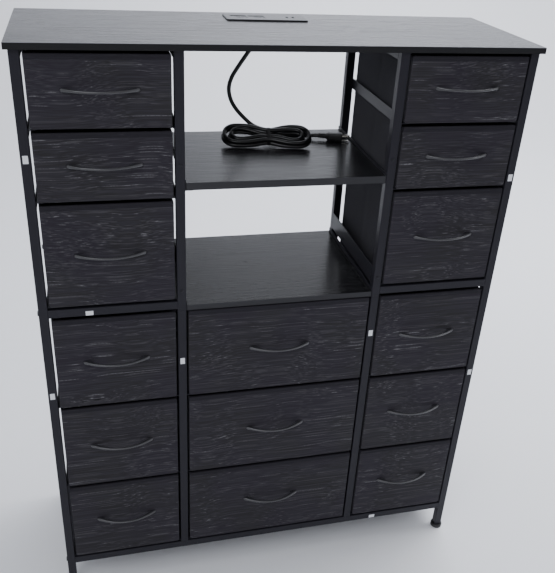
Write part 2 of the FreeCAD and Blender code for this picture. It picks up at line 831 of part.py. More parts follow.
def hank_stations(turn):
    """Places round one turn: point and heading in the hank's plane.

    The line is the middle of the two rings: drawn in to the waist at the tie, wide and straight
    before both ends, with a half circle round each end. A turn starts at the tie on the back.
    """
    wide, slim = hank_half_width, hank_waist
    half = (wide + slim) / 2
    places = []
    for direction in (1, -1):
        side_reach = hank_right_reach if direction > 0 else hank_left_reach
        reach = side_reach + turn_reach_changes[turn]
        spread = side_reach * hank_spread_share
        slope = 2 * math.atan((wide - slim) / spread)
        heading_out = direction * Vector(1, 0, 0)
        rise = direction * Vector(0, 1, 0)
        slant_out = heading_out * math.cos(slope) + rise * math.sin(slope)
        slant_in = -heading_out * math.cos(slope) + rise * math.sin(slope)
        places += [
            (rise * slim, heading_out),
            (heading_out * spread / 2 + rise * half, slant_out),
            (heading_out * spread + rise * wide, heading_out),
            (heading_out * reach + rise * wide, heading_out),
            (heading_out * (reach + wide), -rise),
            (heading_out * reach - rise * wide, -heading_out),
            (heading_out * spread - rise * wide, -heading_out),
            (heading_out * spread / 2 - rise * half, slant_in),
        ]
    return places


def strand_offset(turn, station, stations):
    """Outward and upward place of a turn's cord in the square of strands at a station.

    The square turns by a quarter over the climb, half of it before the tie and half after.
    The front runs also stand out by the turn's own sway, halfway to each end.
    """
    before_tie = station > stations / 2
    from_tie = station - stations if before_tie else station
    share = min(max(from_tie / climb_stations + 1 / 2, 0), 1)
    quarter = turn + share if before_tie else turn - 1 + share
    angle = (quarter + 1 / 2) * math.pi / 2
    half_diagonal = ring_pitch / math.sqrt(2)
    front_runs = (stations / 2 - 1, stations / 2 + 1)
    sway = turn_sways[turn] if station in front_runs else 0
    return half_diagonal * math.cos(angle) + sway, half_diagonal * math.sin(angle)


# The last strand leaves its square at the back of the left end and drops behind the others
leaving_offsets = ((7.2, -10.0), (10.0, -13.4))
# Then it swings out behind the right end and turns forward to the plug
tail_points = [Vector(*point) for point in (
    (45.0, 92.0, 1046.5),
    (88.0, 103.0, 1041.5),
    (118.7, 93.3, 1044.8),
    (127.3, 90.6, 1044.8),
)]
tail_headings = (20.0, 0.0, plug_yaw)   # degrees, at the first three of those points


def level_way(degrees):
    """Horizontal direction, turned from +X."""
    angle = math.radians(degrees)
    return Vector(math.cos(angle), math.sin(angle), 0)


def hank_path():
    """The hank's middle line: its start, four turns and the tail to the plug."""
    centre, lengthwise, across, over = hank_frame()

    def place(flat, offset, heading):
        outward = Vector(-heading.y, heading.x, 0)
        flat = flat + outward * offset[0]
        return centre + lengthwise * flat.x + across * flat.y + over * offset[1]

    def heading_in_space(heading):
        return lengthwise * heading.x + across * heading.y

    start_way = lead_direction(lead_points[-2:])
    knots = [(lead_points[-1] + start_way * cord_diameter, start_way)]
    for turn in range(hank_turns):
        places = hank_stations(turn)
        last_station = len(places) - 1
        for station, (flat, heading) in enumerate(places):
            offset = strand_offset(turn, station, len(places))
            if turn == hank_turns - 1 and station == last_station:
                offset = leaving_offsets[0]
            knots.append((place(flat, offset, heading), heading_in_space(heading)))
    flat, heading = places[0]
    knots.append((place(flat, leaving_offsets[1], heading), heading_in_space(heading)))
    for point, degrees in zip(tail_points, tail_headings):
        knots.append((point, level_way(degrees)))

    edges = [Part.LineSegment(lead_points[-1], knots[0][0]).toShape()]
    for (start, start_way), (end, end_way) in zip(knots, knots[1:]):
        edges += biarc(start, start_way, end, end_way)
    edges.append(Part.LineSegment(tail_points[-2], tail_points[-1]).toShape())
    return edges


gap_samples = 6                 # points read on each arc when the least gap is measured
stretch_apart = 6 * cord_diameter   # stretches closer than this along the cord aren't compared


def least_gap(edges, samples, apart):
    """Least clear space between stretches of the cord that are further apart than apart."""
    points = []
    travelled = 0
    for edge in edges:
        first, last = edge.ParameterRange
        for step in range(samples):
            share = step / samples
            points.append((travelled + share * edge.Length,
                           edge.valueAt(first + share * (last - first))))
        travelled += edge.Length
    least = None
    for index, (length, point) in enumerate(points):
        for other_length, other in points[index + 1:]:
            if other_length - length < apart:
                continue
            gap = point.distanceToPoint(other) - cord_diameter
            if least is None or gap < least:
                least = gap
    return least


def make_hank():
    """The hank of spare cord with its loops, and the tie round its waist."""
    edges = hank_path()
    path = Part.Wire(edges)
    radii = [edge.Curve.Radius for edge in edges if edge.Curve.TypeId == "Part::GeomCircle"]
    print("hank least radius", round(min(radii), 1),
          "least gap", round(least_gap(edges, gap_samples, stretch_apart), 2))
    start_way = lead_direction(lead_points[-2:])
    export("cord_hank", [tube_along(path, lead_points[-1], start_way, "hank")])

    centre, lengthwise, across, over = hank_frame()

    def corner(y, z):
        return centre - lengthwise * tie_length / 2 + across * y + over * z

    def ring_solid(grow):
        outline = Part.makePolygon([
            corner(-tie_front - grow, -tie_front_below - grow),
            corner(tie_back + grow, -tie_back_below - grow),
            corner(tie_back + grow, tie_above + grow),
            corner(-tie_front - grow, tie_above + grow),
            corner(-tie_front - grow, -tie_front_below - grow)])
        solid = Part.Face(outline).extrude(lengthwise * tie_length)
        return round_edges(solid, tie_round + grow, lambda edge: along(edge, lengthwise))

    export("cord_tie", [ring_solid(tie_wall).cut(ring_solid(0))])


def make_plug():
    """Plug at the end of the lead: ribbed relief, body, two blades and a round pin.

    It is built along +X from the end of the lead and then turned about it.
    """
    start = tail_points[-1]
    way = Vector(1, 0, 0)
    solids = [Part.makeCone(relief_tip_radius, relief_root_radius, relief_length, start, way)]
    ring_step = relief_length / (relief_rings + 1)
    for ring in range(relief_rings):
        solids.append(drill(start + way * ring_step * (ring + 1 / 2), way, ring_step / 2,
                            relief_root_radius))
    body_x = start.x + relief_length
    body = block(body_x, body_x + plug_length, start.y - plug_width / 2, start.y + plug_width / 2,
                 start.z - plug_height / 2, start.z + plug_height / 2)
    body = round_edges(body, plug_round, lambda edge: along(edge, way))
    shoulder = [edge for edge in body.Edges if edge.BoundBox.XMax < body_x + plug_round / 2]
    body = body.makeFillet(plug_round / 2, shoulder)
    solids.append(body)
    face_x = body_x + plug_length
    pieces = [fuse(solids)]
    for side in (-1, 1):
        blade_z = start.z + side * slot_pitch / 2
        pieces.append(block(face_x, face_x + blade_length,
                            start.y - earth_pin_offset / 2 - blade_width / 2,
                            start.y - earth_pin_offset / 2 + blade_width / 2,
                            blade_z - blade_thickness / 2, blade_z + blade_thickness / 2))
    pieces.append(drill(Vector(face_x, start.y + earth_pin_offset, start.z), way, blade_length,
                        earth_pin_radius))
    for piece in pieces:
        piece.rotate(start, Vector(0, 0, 1), plug_yaw)
    export("plug", pieces)


def main():
    """Build every node and write it."""
    os.makedirs("parts", exist_ok=True)
    make_boards()
    make_outer_frame("left_frame", frame_lefts[0], -1)
    make_middle_frame("middle_left_frame", frame_lefts[1], -1)
    make_middle_frame("middle_right_frame", frame_lefts[2], 1)
    make_outer_frame("right_frame", frame_lefts[3], 1)
    make_bars()
    make_feet()
    make_fasteners()
    make_outlet()
    make_lead()
    make_hank()
    make_plug()
    side_rows = list(reversed(lower_rows + upper_rows))
    centre_rows = list(reversed(lower_rows))
    for column, rows in (("left", side_rows), ("centre", centre_rows), ("right", side_rows)):
        for number, (level, height) in enumerate(rows, start=1):
            make_drawer(column, number, level, height)


main()
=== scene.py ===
"""Looks of a tall dresser: black steel frame, fifteen cloth drawers with printed wood fronts, two
shelves and a power outlet with its tied-up lead. Metres, +Z up, front towards -Y."""

import json
import math

import bmesh
import bpy
import numpy as np
from bpy.props import FloatProperty, FloatVectorProperty, IntProperty, PointerProperty
from mathutils import Matrix, Vector

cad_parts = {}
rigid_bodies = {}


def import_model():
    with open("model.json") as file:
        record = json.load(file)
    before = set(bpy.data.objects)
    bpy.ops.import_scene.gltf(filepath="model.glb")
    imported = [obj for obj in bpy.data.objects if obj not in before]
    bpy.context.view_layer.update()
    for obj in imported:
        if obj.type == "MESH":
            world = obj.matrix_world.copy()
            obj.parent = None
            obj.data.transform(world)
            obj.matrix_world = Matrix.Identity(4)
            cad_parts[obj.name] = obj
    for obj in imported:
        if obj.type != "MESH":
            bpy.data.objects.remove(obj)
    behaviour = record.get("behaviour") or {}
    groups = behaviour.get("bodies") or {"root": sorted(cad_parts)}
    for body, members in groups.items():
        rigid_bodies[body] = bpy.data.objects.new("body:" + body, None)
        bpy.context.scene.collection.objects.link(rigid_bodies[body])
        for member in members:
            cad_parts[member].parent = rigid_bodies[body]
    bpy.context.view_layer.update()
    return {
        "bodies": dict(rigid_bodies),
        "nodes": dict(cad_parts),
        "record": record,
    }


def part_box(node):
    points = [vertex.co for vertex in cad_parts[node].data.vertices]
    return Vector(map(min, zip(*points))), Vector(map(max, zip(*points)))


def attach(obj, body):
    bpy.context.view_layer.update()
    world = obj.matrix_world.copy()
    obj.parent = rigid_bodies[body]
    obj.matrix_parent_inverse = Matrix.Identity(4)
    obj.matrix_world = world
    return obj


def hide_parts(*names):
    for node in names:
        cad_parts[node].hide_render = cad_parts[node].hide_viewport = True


bl_info = {
    "name": "Cloth drawer dresser",
    "version": (1, 0, 0),
    "blender": (4, 5, 0),
    "location": "View3D > Sidebar > Dresser",
    "description": "Dresses a steel-framed dresser with cloth drawers",
    "category": "Add Mesh",
}

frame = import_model()
MM = 0.001
SHARP_ANGLE = math.radians(38)
FRAME_BODY = "frame"
DRAWERS = [body for body in frame["bodies"] if body != FRAME_BODY]


# Settings

def length(title, text, default, low, high):
    """Length setting, from values in millimetres."""
    return FloatProperty(name=title, description=text, default=default * MM, min=low * MM,
                         max=high * MM, unit="LENGTH")


def tint(title, text, default):
    """Colour setting with linear values."""
    return FloatVectorProperty(name=title, description=text, default=default,
                               subtype="COLOR", min=0, max=1)


def amount(title, text, default, high):
    """Number setting from nought up."""
    return FloatProperty(name=title, description=text, default=default, min=0.0, max=high)


class DresserSizes(bpy.types.PropertyGroup):
    """Sizes of the pieces that the frame doesn't give."""
    front_edge: length("Front edge", "Rounding of a drawer front's edge", 1.4, 0.2, 2.4)
    front_corner: length(
        "Front corner", "Radius of a drawer front's upper corners", 3.0, 0.5, 12)
    front_fold: length(
        "Front fold", "Distance of the wrapped fold below a front's top edge", 10, 4, 30)
    cloth_wall: length("Cloth wall", "Thickness of a stiffened cloth wall", 2.3, 1, 4)
    cloth_hem: length("Cloth hem", "Height of the bound hem round a drawer's rim", 13, 4, 30)
    cloth_bulge: length(
        "Cloth bulge", "How far the lower half of a cloth side stands out", 1.2, 0, 3)
    cloth_pull: length("Cloth pull", "How far the rim of a cloth side is drawn in", 0.8, 0, 6)
    crease_seed: IntProperty(
        name="Crease seed", description="Start value of the cloth's small creases",
        default=7, min=0, max=1000)
    pull_foot: length("Pull foot", "Length of a bow pull's foot", 14, 6, 25)
    pull_bar: length("Pull bar", "Depth of a bow pull at its middle", 4.4, 3, 10)
    pull_toe: length("Pull toe", "Depth of a bow pull's blunt end", 2.0, 1, 6)
    pull_middle: length("Pull middle", "Height of a bow pull at its middle", 4.3, 3, 12)
    pull_end: length("Pull end", "Height of a bow pull at its blunt ends", 7.4, 4, 12)
    cord_width: length("Cord", "Diameter of the mains lead", 9, 4, 10)
    label_long: length("Label length", "Longer side of a bare paper label", 15, 5, 30)
    label_short: length("Label width", "Shorter side of a bare paper label", 9.5, 5, 16)


class DresserColours(bpy.types.PropertyGroup):
    """Colours of the finishes, as linear values."""
    steel_paint: tint("Steel paint", "Powder coat on the frame", (0.0150, 0.0143, 0.0200))
    front_print: tint(
        "Front print", "Ground colour of the printed fronts", (0.0228, 0.0211, 0.0276))
    front_streak: tint(
        "Front streaks", "Pale streaks of the printed fronts", (0.155, 0.150, 0.160))
    board_film: tint(
        "Board film", "Laminate of the top and the shelves", (0.0075, 0.0075, 0.0088))
    cloth: tint("Cloth", "Non-woven cloth of the drawers", (0.0172, 0.0165, 0.0238))
    pull_coat: tint("Pulls", "Coating of the bow pulls", (0.020, 0.0198, 0.0235))
    zinc: tint("Zinc", "Plating of the pulls' screws", (0.42, 0.42, 0.43))
    black_screw: tint(
        "Black screws", "Finish of the frame's screws, bolts and rivets", (0.045, 0.045, 0.050))
    nickel: tint("Nickel", "Plating of the plug's blades and pin", (0.62, 0.60, 0.56))
    outlet: tint("Outlet", "Housing of the power outlet", (0.012, 0.012, 0.014))
    cord: tint("Cord", "Sheath of the mains lead, plug and tie", (0.0065, 0.0065, 0.0075))
    paper: tint("Paper", "Bare paper labels", (0.80, 0.81, 0.84))
    floor: tint("Floor", "Studio floor", (0.74, 0.75, 0.78))


class DresserStage(bpy.types.PropertyGroup):
    """Studio light."""
    key_power: amount("Key light", "Power of the large light over the front", 60.0, 2000.0)
    rim_power: amount("Back light", "Power of the light over the back", 6.0, 2000.0)
    room_light: amount("Room light", "Strength of the even light all round", 1.35, 5.0)
    wall_power: amount("Wall light", "Power of the light on the wall behind", 370.0, 2000.0)
    front_dim: amount(
        "Front shade", "Share of the room light that comes from the front", 0.3, 1.0)


# Meshes from arrays

def quads(rows, columns, around=False):
    """Faces of a grid of points, with the row and the unwrapped column of every corner."""
    across = columns if around else columns - 1
    row, column = np.meshgrid(np.arange(rows - 1), np.arange(across), indexing="ij")
    corner_rows = np.stack([row, row, row + 1, row + 1], -1).reshape(-1, 4)
    corner_columns = np.stack([column, column + 1, column + 1, column], -1).reshape(-1, 4)
    return corner_rows * columns + corner_columns % columns, corner_rows, corner_columns


def put_mesh(name, points, face_sets, maps=None):
    """Object from points and arrays of faces; maps holds one UV pair per corner of each array."""
    mesh = bpy.data.meshes.new(name)
    counts = np.concatenate([np.full(len(faces), faces.shape[1]) for faces in face_sets])
    corners = np.concatenate([faces.ravel() for faces in face_sets])
    mesh.vertices.add(len(points))
    mesh.vertices.foreach_set("co", np.asarray(points, np.float32).ravel())
    mesh.loops.add(len(corners))
    mesh.loops.foreach_set("vertex_index", corners.astype(np.int32))
    mesh.polygons.add(len(counts))
    mesh.polygons.foreach_set("loop_start", np.concatenate([[0], np.cumsum(counts)[:-1]]))
    mesh.polygons.foreach_set("use_smooth", np.ones(len(counts), bool))
    if maps is not None:
        layer = mesh.uv_layers.new(name="UVMap")
        flat = np.concatenate([np.asarray(part, np.float32).reshape(-1, 2) for part in maps])
        layer.uv.foreach_set("vector", flat.ravel())
    mesh.update(calc_edges=True)
    turn_outwards(mesh)
    made = bpy.data.objects.new(name, mesh)
    bpy.context.scene.collection.objects.link(made)
    return made


def turn_outwards(mesh):
    """Makes the faces of a closed mesh point outwards and keeps its sharp edges sharp."""
    work = bmesh.new()
    work.from_mesh(mesh)
    bmesh.ops.recalc_face_normals(work, faces=work.faces)
    work.to_mesh(mesh)
    work.free()
    mesh.set_sharp_from_angle(angle=SHARP_ANGLE)


def put_rings(name, rings, maps=None):
    """Closed skin over rings of points, with a flat cap on the first and the last ring.

    rings has the shape rings x points x 3. maps has one more column, for the unwrapped seam.
    """
    rows, columns = rings.shape[:2]
    faces, corner_rows, corner_columns = quads(rows, columns, around=True)
    caps = [np.arange(columns)[None, ::-1], (rows - 1) * columns + np.arange(columns)[None, :]]
    uv = None
    if maps is not None:
        uv = [maps[corner_rows, corner_columns], maps[0, :columns][::-1], maps[-1, :columns]]
    return put_mesh(name, rings.reshape(-1, 3), [faces] + caps, uv)


def slab_faces(rows, columns):
    """Faces of a thin slab from two like grids, one behind the other: front, back and sides."""
    faces, _, _ = quads(rows, columns)
    total = rows * columns
    rim = np.concatenate([
        np.arange(columns), np.arange(1, rows) * columns + columns - 1,
        (rows - 1) * columns + np.arange(columns - 2, -1, -1),
        np.arange(rows - 2, 0, -1) * columns])
    following = np.roll(rim, -1)
    sides = np.stack([rim, following, following + total, rim + total], -1)
    return [faces, faces[:, ::-1] + total, sides]


def join(name, parts):
    """One object from several, each keeping its finish."""
    with bpy.context.temp_override(active_object=parts[0], selected_editable_objects=parts):
        bpy.ops.object.join()
    parts[0].name = name
    parts[0].data.name = name
    return parts[0]


def superellipse(count, power):
    """Unit outline |a|^power + |b|^power = 1 at even steps of its angle, as two arrays."""
    angle = np.linspace(0, 2 * np.pi, count, endpoint=False)
    a, b = np.cos(angle), np.sin(angle)
    return (np.sign(a) * np.abs(a) ** (2 / power), np.sign(b) * np.abs(b) ** (2 / power))


def rounded_box_outline(half_x, half_y, radius, corner_steps, side_steps):
    """Outline of a rounded rectangle, anticlockwise: quarter circles joined by even runs.

    Gives the points, the outward unit normals and the length run through up to each point.
    """
    turn = np.linspace(0, np.pi / 2, corner_steps)
    points, normals = [], []
    for quarter in range(4):
        angle = turn + quarter * np.pi / 2
        way = np.stack([np.cos(angle), np.sin(angle)], -1)
        centre = np.array([half_x - radius, half_y - radius]) * np.sign(
            np.array([np.cos(angle[corner_steps // 2]), np.sin(angle[corner_steps // 2])]))
        arc = centre + radius * way
        points.append(arc)
        normals.append(way)
        following = centre * (1, -1) if quarter in (1, 3) else centre * (-1, 1)
        start_next = following + radius * way[-1]
        share = np.linspace(0, 1, side_steps + 2)[1:-1, None]
        points.append(arc[-1] * (1 - share) + start_next * share)
        normals.append(np.repeat(way[-1:], side_steps, 0))
    points, normals = np.concatenate(points), np.concatenate(normals)
    steps = np.linalg.norm(np.roll(points, -1, 0) - points, axis=1)
    return points, normals, np.concatenate([[0], np.cumsum(steps)])


# Finishes

def node(tree, kind, feeds=None, **settings):
    """Adds a shader node, sets its fields and links or sets its inputs."""
    made = tree.nodes.new(kind)
    for field, value in settings.items():
        setattr(made, field, value)
    for key, value in (feeds or {}).items():
        if isinstance(value, bpy.types.NodeSocket):
            tree.links.new(value, made.inputs[key])
        else:
            made.inputs[key].default_value = value
    return made


def feed(tree, target, **sources):
    """Links sources to a node's inputs by name; an underscore stands for a space."""
    for key, source in sources.items():
        tree.links.new(source, target.inputs[key.replace("_", " ")])


def math_node(tree, operation, *values):
    """Output of one sum; each value is a number or a socket."""
    return node(tree, "ShaderNodeMath", dict(enumerate(values)), operation=operation).outputs[0]


def times(tree, first, second):
    """Product of two numbers or sockets."""
    return math_node(tree, "MULTIPLY", first, second)


def noise(tree, place, **inputs):
    """Value of a noise texture at a place."""
    return node(tree, "ShaderNodeTexNoise", {"Vector": place, **inputs}).outputs[0]


def upward_share(tree):
    """Upward share of the surface's normal."""
    normal = node(tree, "ShaderNodeNewGeometry").outputs["Normal"]
    return node(tree, "ShaderNodeSeparateXYZ", {0: normal}).outputs[2]


def ramp(tree, value, low, high, start=0.0, end=1.0):
    """Value moved from the range low to high to the range start to end, with soft ends."""
    made = node(tree, "ShaderNodeMapRange", {0: value, 1: low, 2: high, 3: start, 4: end},
                interpolation_type="SMOOTHSTEP")
    return made.outputs[0]


def group(name, inputs, outputs):
    """New node group with number or vector inputs and number outputs; its two end nodes."""
    tree = bpy.data.node_groups.new(name, "ShaderNodeTree")
    for title, kind, value in inputs:
        socket = tree.interface.new_socket(title, in_out="INPUT", socket_type=kind)
        if value is not None:
            socket.default_value = value
    for title in outputs:
        tree.interface.new_socket(title, in_out="OUTPUT", socket_type="NodeSocketFloat")
    return tree, node(tree, "NodeGroupInput"), node(tree, "NodeGroupOutput")


def use_group(tree, name, **feeds):
    """A node group placed in a material."""
    return node(tree, "ShaderNodeGroup", feeds, node_tree=bpy.data.node_groups[name])


def make_groups():
    """Shared effects: wood grain, pebbled paint, embossed cloth and settled dust."""
    number, vector = "NodeSocketFloat", "NodeSocketVector"

    # Grain: noise drawn out along X, bent by slow waves and pushed aside round knots
    tree, given, out = group("wood_grain", [
        ("Place", vector, None), ("Length", number, 9.0), ("Width", number, 260.0),
        ("Wave", number, 0.03), ("Knots", number, 0.02), ("Level", number, 0.56)],
        ["Streaks", "Tone", "Height", "Knot"])
    split = node(tree, "ShaderNodeSeparateXYZ", {0: given.outputs["Place"]}).outputs
    flat = node(tree, "ShaderNodeCombineXYZ", {0: split[0], 2: times(tree, split[2], 2.2)})
    knot = node(tree, "ShaderNodeTexVoronoi", {"Vector": flat.outputs[0], "Scale": 4.2})
    swell = times(tree, ramp(tree, knot.outputs["Distance"], 0.3, 0.0), given.outputs["Knots"])
    slow = noise(tree, given.outputs["Place"], Scale=4.5, Detail=1.0)
    wave = times(tree, math_node(tree, "SUBTRACT", slow, 0.5), given.outputs["Wave"])
    bend = math_node(tree, "ADD", swell, wave)
    across, upward = (times(tree, math_node(tree, "ADD", split[axis], bend),
                            given.outputs["Width"]) for axis in (1, 2))
    drawn = node(tree, "ShaderNodeCombineXYZ", {
        0: times(tree, split[0], given.outputs["Length"]), 1: across, 2: upward}).outputs[0]
    line = noise(tree, drawn, Scale=1.0, Detail=1.5, Roughness=0.5)
    thin = ramp(tree, math_node(tree, "SUBTRACT", line, given.outputs["Level"]), 0.0, 0.09)
    where = ramp(tree, noise(tree, drawn, Scale=0.16), 0.42, 0.6)
    feed(tree, out, Streaks=times(tree, thin, where), Tone=ramp(tree, line, 0.35, 0.65),
         Height=line, Knot=ramp(tree, knot.outputs["Distance"], 0.05, 0.02))

    # Pebble: the orange-peel skin of powder coat and moulded plastic, with rare nibs
    tree, given, out = group("pebbled_skin", [
        ("Place", vector, None), ("Scale", number, 900.0)], ["Height", "Speckle"])
    place, scale = given.outputs["Place"], given.outputs["Scale"]
    nibs = node(tree, "ShaderNodeTexVoronoi", {
        "Vector": place, "Scale": times(tree, scale, 0.12)})
    feed(tree, out, Height=noise(tree, place, Scale=scale, Detail=2.0),
         Speckle=ramp(tree, nibs.outputs["Distance"], 0.16, 0.05))

    # Emboss: rows of small pressed dots as on non-woven cloth, over a felted ground
    tree, given, out = group("pressed_cloth", [
        ("Place", vector, None), ("Pitch", number, 620.0)], ["Height", "Fuzz"])
    dots = node(tree, "ShaderNodeTexVoronoi", {
        "Vector": given.outputs["Place"], "Scale": given.outputs["Pitch"], "Randomness": 0.15})
    felt = noise(tree, given.outputs["Place"], Scale=1500.0, Detail=3.0, Roughness=0.7)
    pit = ramp(tree, dots.outputs["Distance"], 0.12, 0.42)
    feed(tree, out, Height=math_node(tree, "MULTIPLY_ADD", felt, 0.45, pit), Fuzz=felt)

    # Dust: pale film in soft patches on whatever faces up
    tree, given, out = group("settled_dust", [
        ("Place", vector, None), ("Amount", number, 0.1)], ["Dust"])
    film = noise(tree, given.outputs["Place"], Scale=9.0, Detail=6.0, Roughness=0.7)
    film_here = times(tree, ramp(tree, film, 0.35, 0.75),
                      ramp(tree, upward_share(tree), 0.5, 0.95))
    feed(tree, out, Dust=times(tree, film_here, given.outputs["Amount"]))


DUST = (0.5, 0.5, 0.5)


def finish(name, colour, roughness, **sockets):
    """New material: its tree, its shader and its coordinates."""
    material = bpy.data.materials.new(name)
    material.use_nodes = True
    tree = material.node_tree
    shader = tree.nodes["Principled BSDF"]
    shader.inputs["Base Color"].default_value = (*colour, 1)
    shader.inputs["Roughness"].default_value = roughness
    for key, value in sockets.items():
        shader.inputs[key.replace("_", " ")].default_value = value
    return tree, shader, node(tree, "ShaderNodeTexCoord").outputs


def blend_colours(tree, share, first, second):
    """Colour that runs from first to second with share."""
    first, second = (colour if isinstance(colour, bpy.types.NodeSocket) else (*colour[:3], 1)
                     for colour in (first, second))
    made = node(tree, "ShaderNodeMix", {0: share, 6: first, 7: second}, data_type="RGBA")
    return made.outputs[2]


def add_bump(tree, shader, height, strength, distance):
    """Feeds a height into the shader's normal."""
    feed(tree, shader, Normal=node(tree, "ShaderNodeBump", {
        "Height": height, "Strength": strength, "Distance": distance}).outputs[0])


def pale(colour, share):
    """Colour moved towards white by share."""
    return [channel + (1 - channel) * share for channel in colour]


def skin_finish(name, colour, roughness, scale, depth, dust=0.0, **sockets):
    """Pebbled skin: powder coat, moulded plastic or rubber."""
    tree, shader, place = finish(name, colour, roughness, **sockets)
    skin = use_group(tree, "pebbled_skin", Place=place["Object"], Scale=scale).outputs
    film = use_group(tree, "settled_dust", Place=place["Object"], Amount=dust).outputs
    mottled = blend_colours(tree, ramp(tree, skin["Height"], 0.35, 0.65), colour,
                            pale(colour, 0.003))
    feed(tree, shader, Base_Color=blend_colours(tree, film["Dust"], mottled, DUST),
         Roughness=math_node(tree, "MULTIPLY_ADD", skin["Speckle"], 0.1, roughness))
    add_bump(tree, shader, skin["Height"], depth, 0.4 * MM)


def print_finish(name, colour, streak, fold):
    """Printed front: charcoal ground with pale streaks, dark knots, cool and warm patches.

    The map's v is the height from the front's top edge; the band over the fold is plain.
    """
    knot_colour = (0.001, 0.001, 0.001)
    warm = (colour[0] * 1.04, colour[1] * 1.06, colour[2] * 0.88)
    cool = (colour[0] * 1.05, colour[1] * 0.97, colour[2] * 1.02)
    band_colour = [channel * 0.7 for channel in colour]
    tree, shader, place = finish(name, colour, 0.62, Specular_IOR_Level=0.12)
    spot = place["Object"]
    bold = use_group(tree, "wood_grain", Place=spot, Length=3.0, Width=560.0, Wave=0.045,
                     Knots=0.009, Level=0.615).outputs
    fine = use_group(tree, "wood_grain", Place=spot, Length=4.5, Width=700.0, Wave=0.04,
                     Knots=0.009, Level=0.54).outputs
    patch = ramp(tree, noise(tree, spot, Scale=7.0, Detail=1.0), 0.38, 0.62)
    ground = blend_colours(tree, bold["Tone"], blend_colours(tree, patch, warm, cool),
                           pale(colour, 0.009))
    dark = blend_colours(tree, times(tree, bold["Knot"], 0.8), ground, knot_colour)
    dots = noise(tree, spot, Scale=260.0, Detail=2.0)
    broken = times(tree, bold["Streaks"], ramp(tree, dots, 0.4, 0.56, 0.45, 0.95))
    lines = math_node(tree, "MAXIMUM", broken, times(tree, fine["Streaks"], 0.24))
    printed = blend_colours(tree, lines, dark, streak)
    drop = node(tree, "ShaderNodeSeparateXYZ", {0: place["UV"]}).outputs[1]
    band = ramp(tree, drop, -fold - 0.6 * MM, -fold + 0.4 * MM)
    feed(tree, shader, Base_Color=blend_colours(tree, times(tree, band, 0.85), printed,
                                                band_colour))
    add_bump(tree, shader, fine["Height"], 0.2, 0.3 * MM)


def film_finish(name, colour, gloss, roughness, relief, side):
    """Laminated board: satin black film with a close wood grain and a painted highlight on its
    edges.

    The upright faces have the side's colour and are duller.
    """
    # Pale colour of the painted highlight on the rounded edges, where they catch the light
    edge_highlight_colour = (0.22, 0.22, 0.24)
    tree, shader, place = finish(name, colour, roughness, Specular_IOR_Level=gloss)
    grain = use_group(tree, "wood_grain", Place=place["Object"], Length=4.5, Width=300.0,
                      Wave=0.03, Knots=0.012, Level=0.56).outputs
    film = use_group(tree, "settled_dust", Place=place["Object"], Amount=0.02).outputs
    wood = blend_colours(tree, times(tree, grain["Tone"], 0.6), colour, pale(colour, 0.008))
    level = math_node(tree, "ABSOLUTE", upward_share(tree))
    upright = ramp(tree, level, 0.7, 0.3)
    banded = blend_colours(tree, upright, wood, side)
    # Painted highlight: faces between flat and upright, the edge rounding, are made paler
    edge = times(tree, ramp(tree, level, 0.25, 0.5), ramp(tree, level, 0.98, 0.9))
    highlighted = blend_colours(tree, edge, banded, edge_highlight_colour)
    satin = math_node(tree, "MULTIPLY_ADD", grain["Tone"], 0.08, roughness)
    feed(tree, shader, Base_Color=blend_colours(tree, film["Dust"], highlighted, DUST),
         Roughness=math_node(tree, "MULTIPLY_ADD", upright, 0.35, satin))
    add_bump(tree, shader, grain["Height"], relief, 0.4 * MM)


def cloth_finish(name, colour):
    """Non-woven cloth: matt, felted, with rows of pressed dots that follow the surface."""
    tree, shader, place = finish(name, colour, 0.92, Sheen_Weight=0.06, Sheen_Roughness=0.5,
                                 Specular_IOR_Level=0.15)
    cloth = use_group(tree, "pressed_cloth", Place=place["UV"], Pitch=620.0).outputs
    feed(tree, shader, Base_Color=blend_colours(tree, times(tree, cloth["Fuzz"], 0.5), colour,
                                                pale(colour, 0.03)))
    add_bump(tree, shader, cloth["Height"], 0.55, 0.5 * MM)


def metal_finish(name, colour, roughness):
    """Plated metal with fine scratches along one way."""
    tree, shader, place = finish(name, colour, roughness, Metallic=1.0)
    drawn = node(tree, "ShaderNodeMapping", {
        "Vector": place["Object"], "Scale": (200.0, 2600.0, 2600.0)})
    lines = noise(tree, drawn.outputs[0], Scale=1.0)
    feed(tree, shader, Roughness=math_node(tree, "MULTIPLY_ADD", lines, 0.2, roughness - 0.1))
    add_bump(tree, shader, lines, 0.12, 0.2 * MM)


def paper_finish(name, colour):
    """Paper with faint fibres."""
    tree, shader, place = finish(name, colour, 0.7)
    fibres = noise(tree, place["Object"], Scale=800.0, Detail=4.0)
    feed(tree, shader, Base_Color=blend_colours(tree, fibres, colour, pale(colour, -0.08)))
    add_bump(tree, shader, fibres, 0.2, 0.1 * MM)


def floor_finish(name, colour):
    """Studio floor with a very faint cloudiness."""
    tree, shader, place = finish(name, colour, 0.55)
    cloud = noise(tree, place["Object"], Scale=1.5, Detail=3.0)
    feed(tree, shader, Base_Color=blend_colours(tree, cloud, colour, pale(colour, 0.08)))


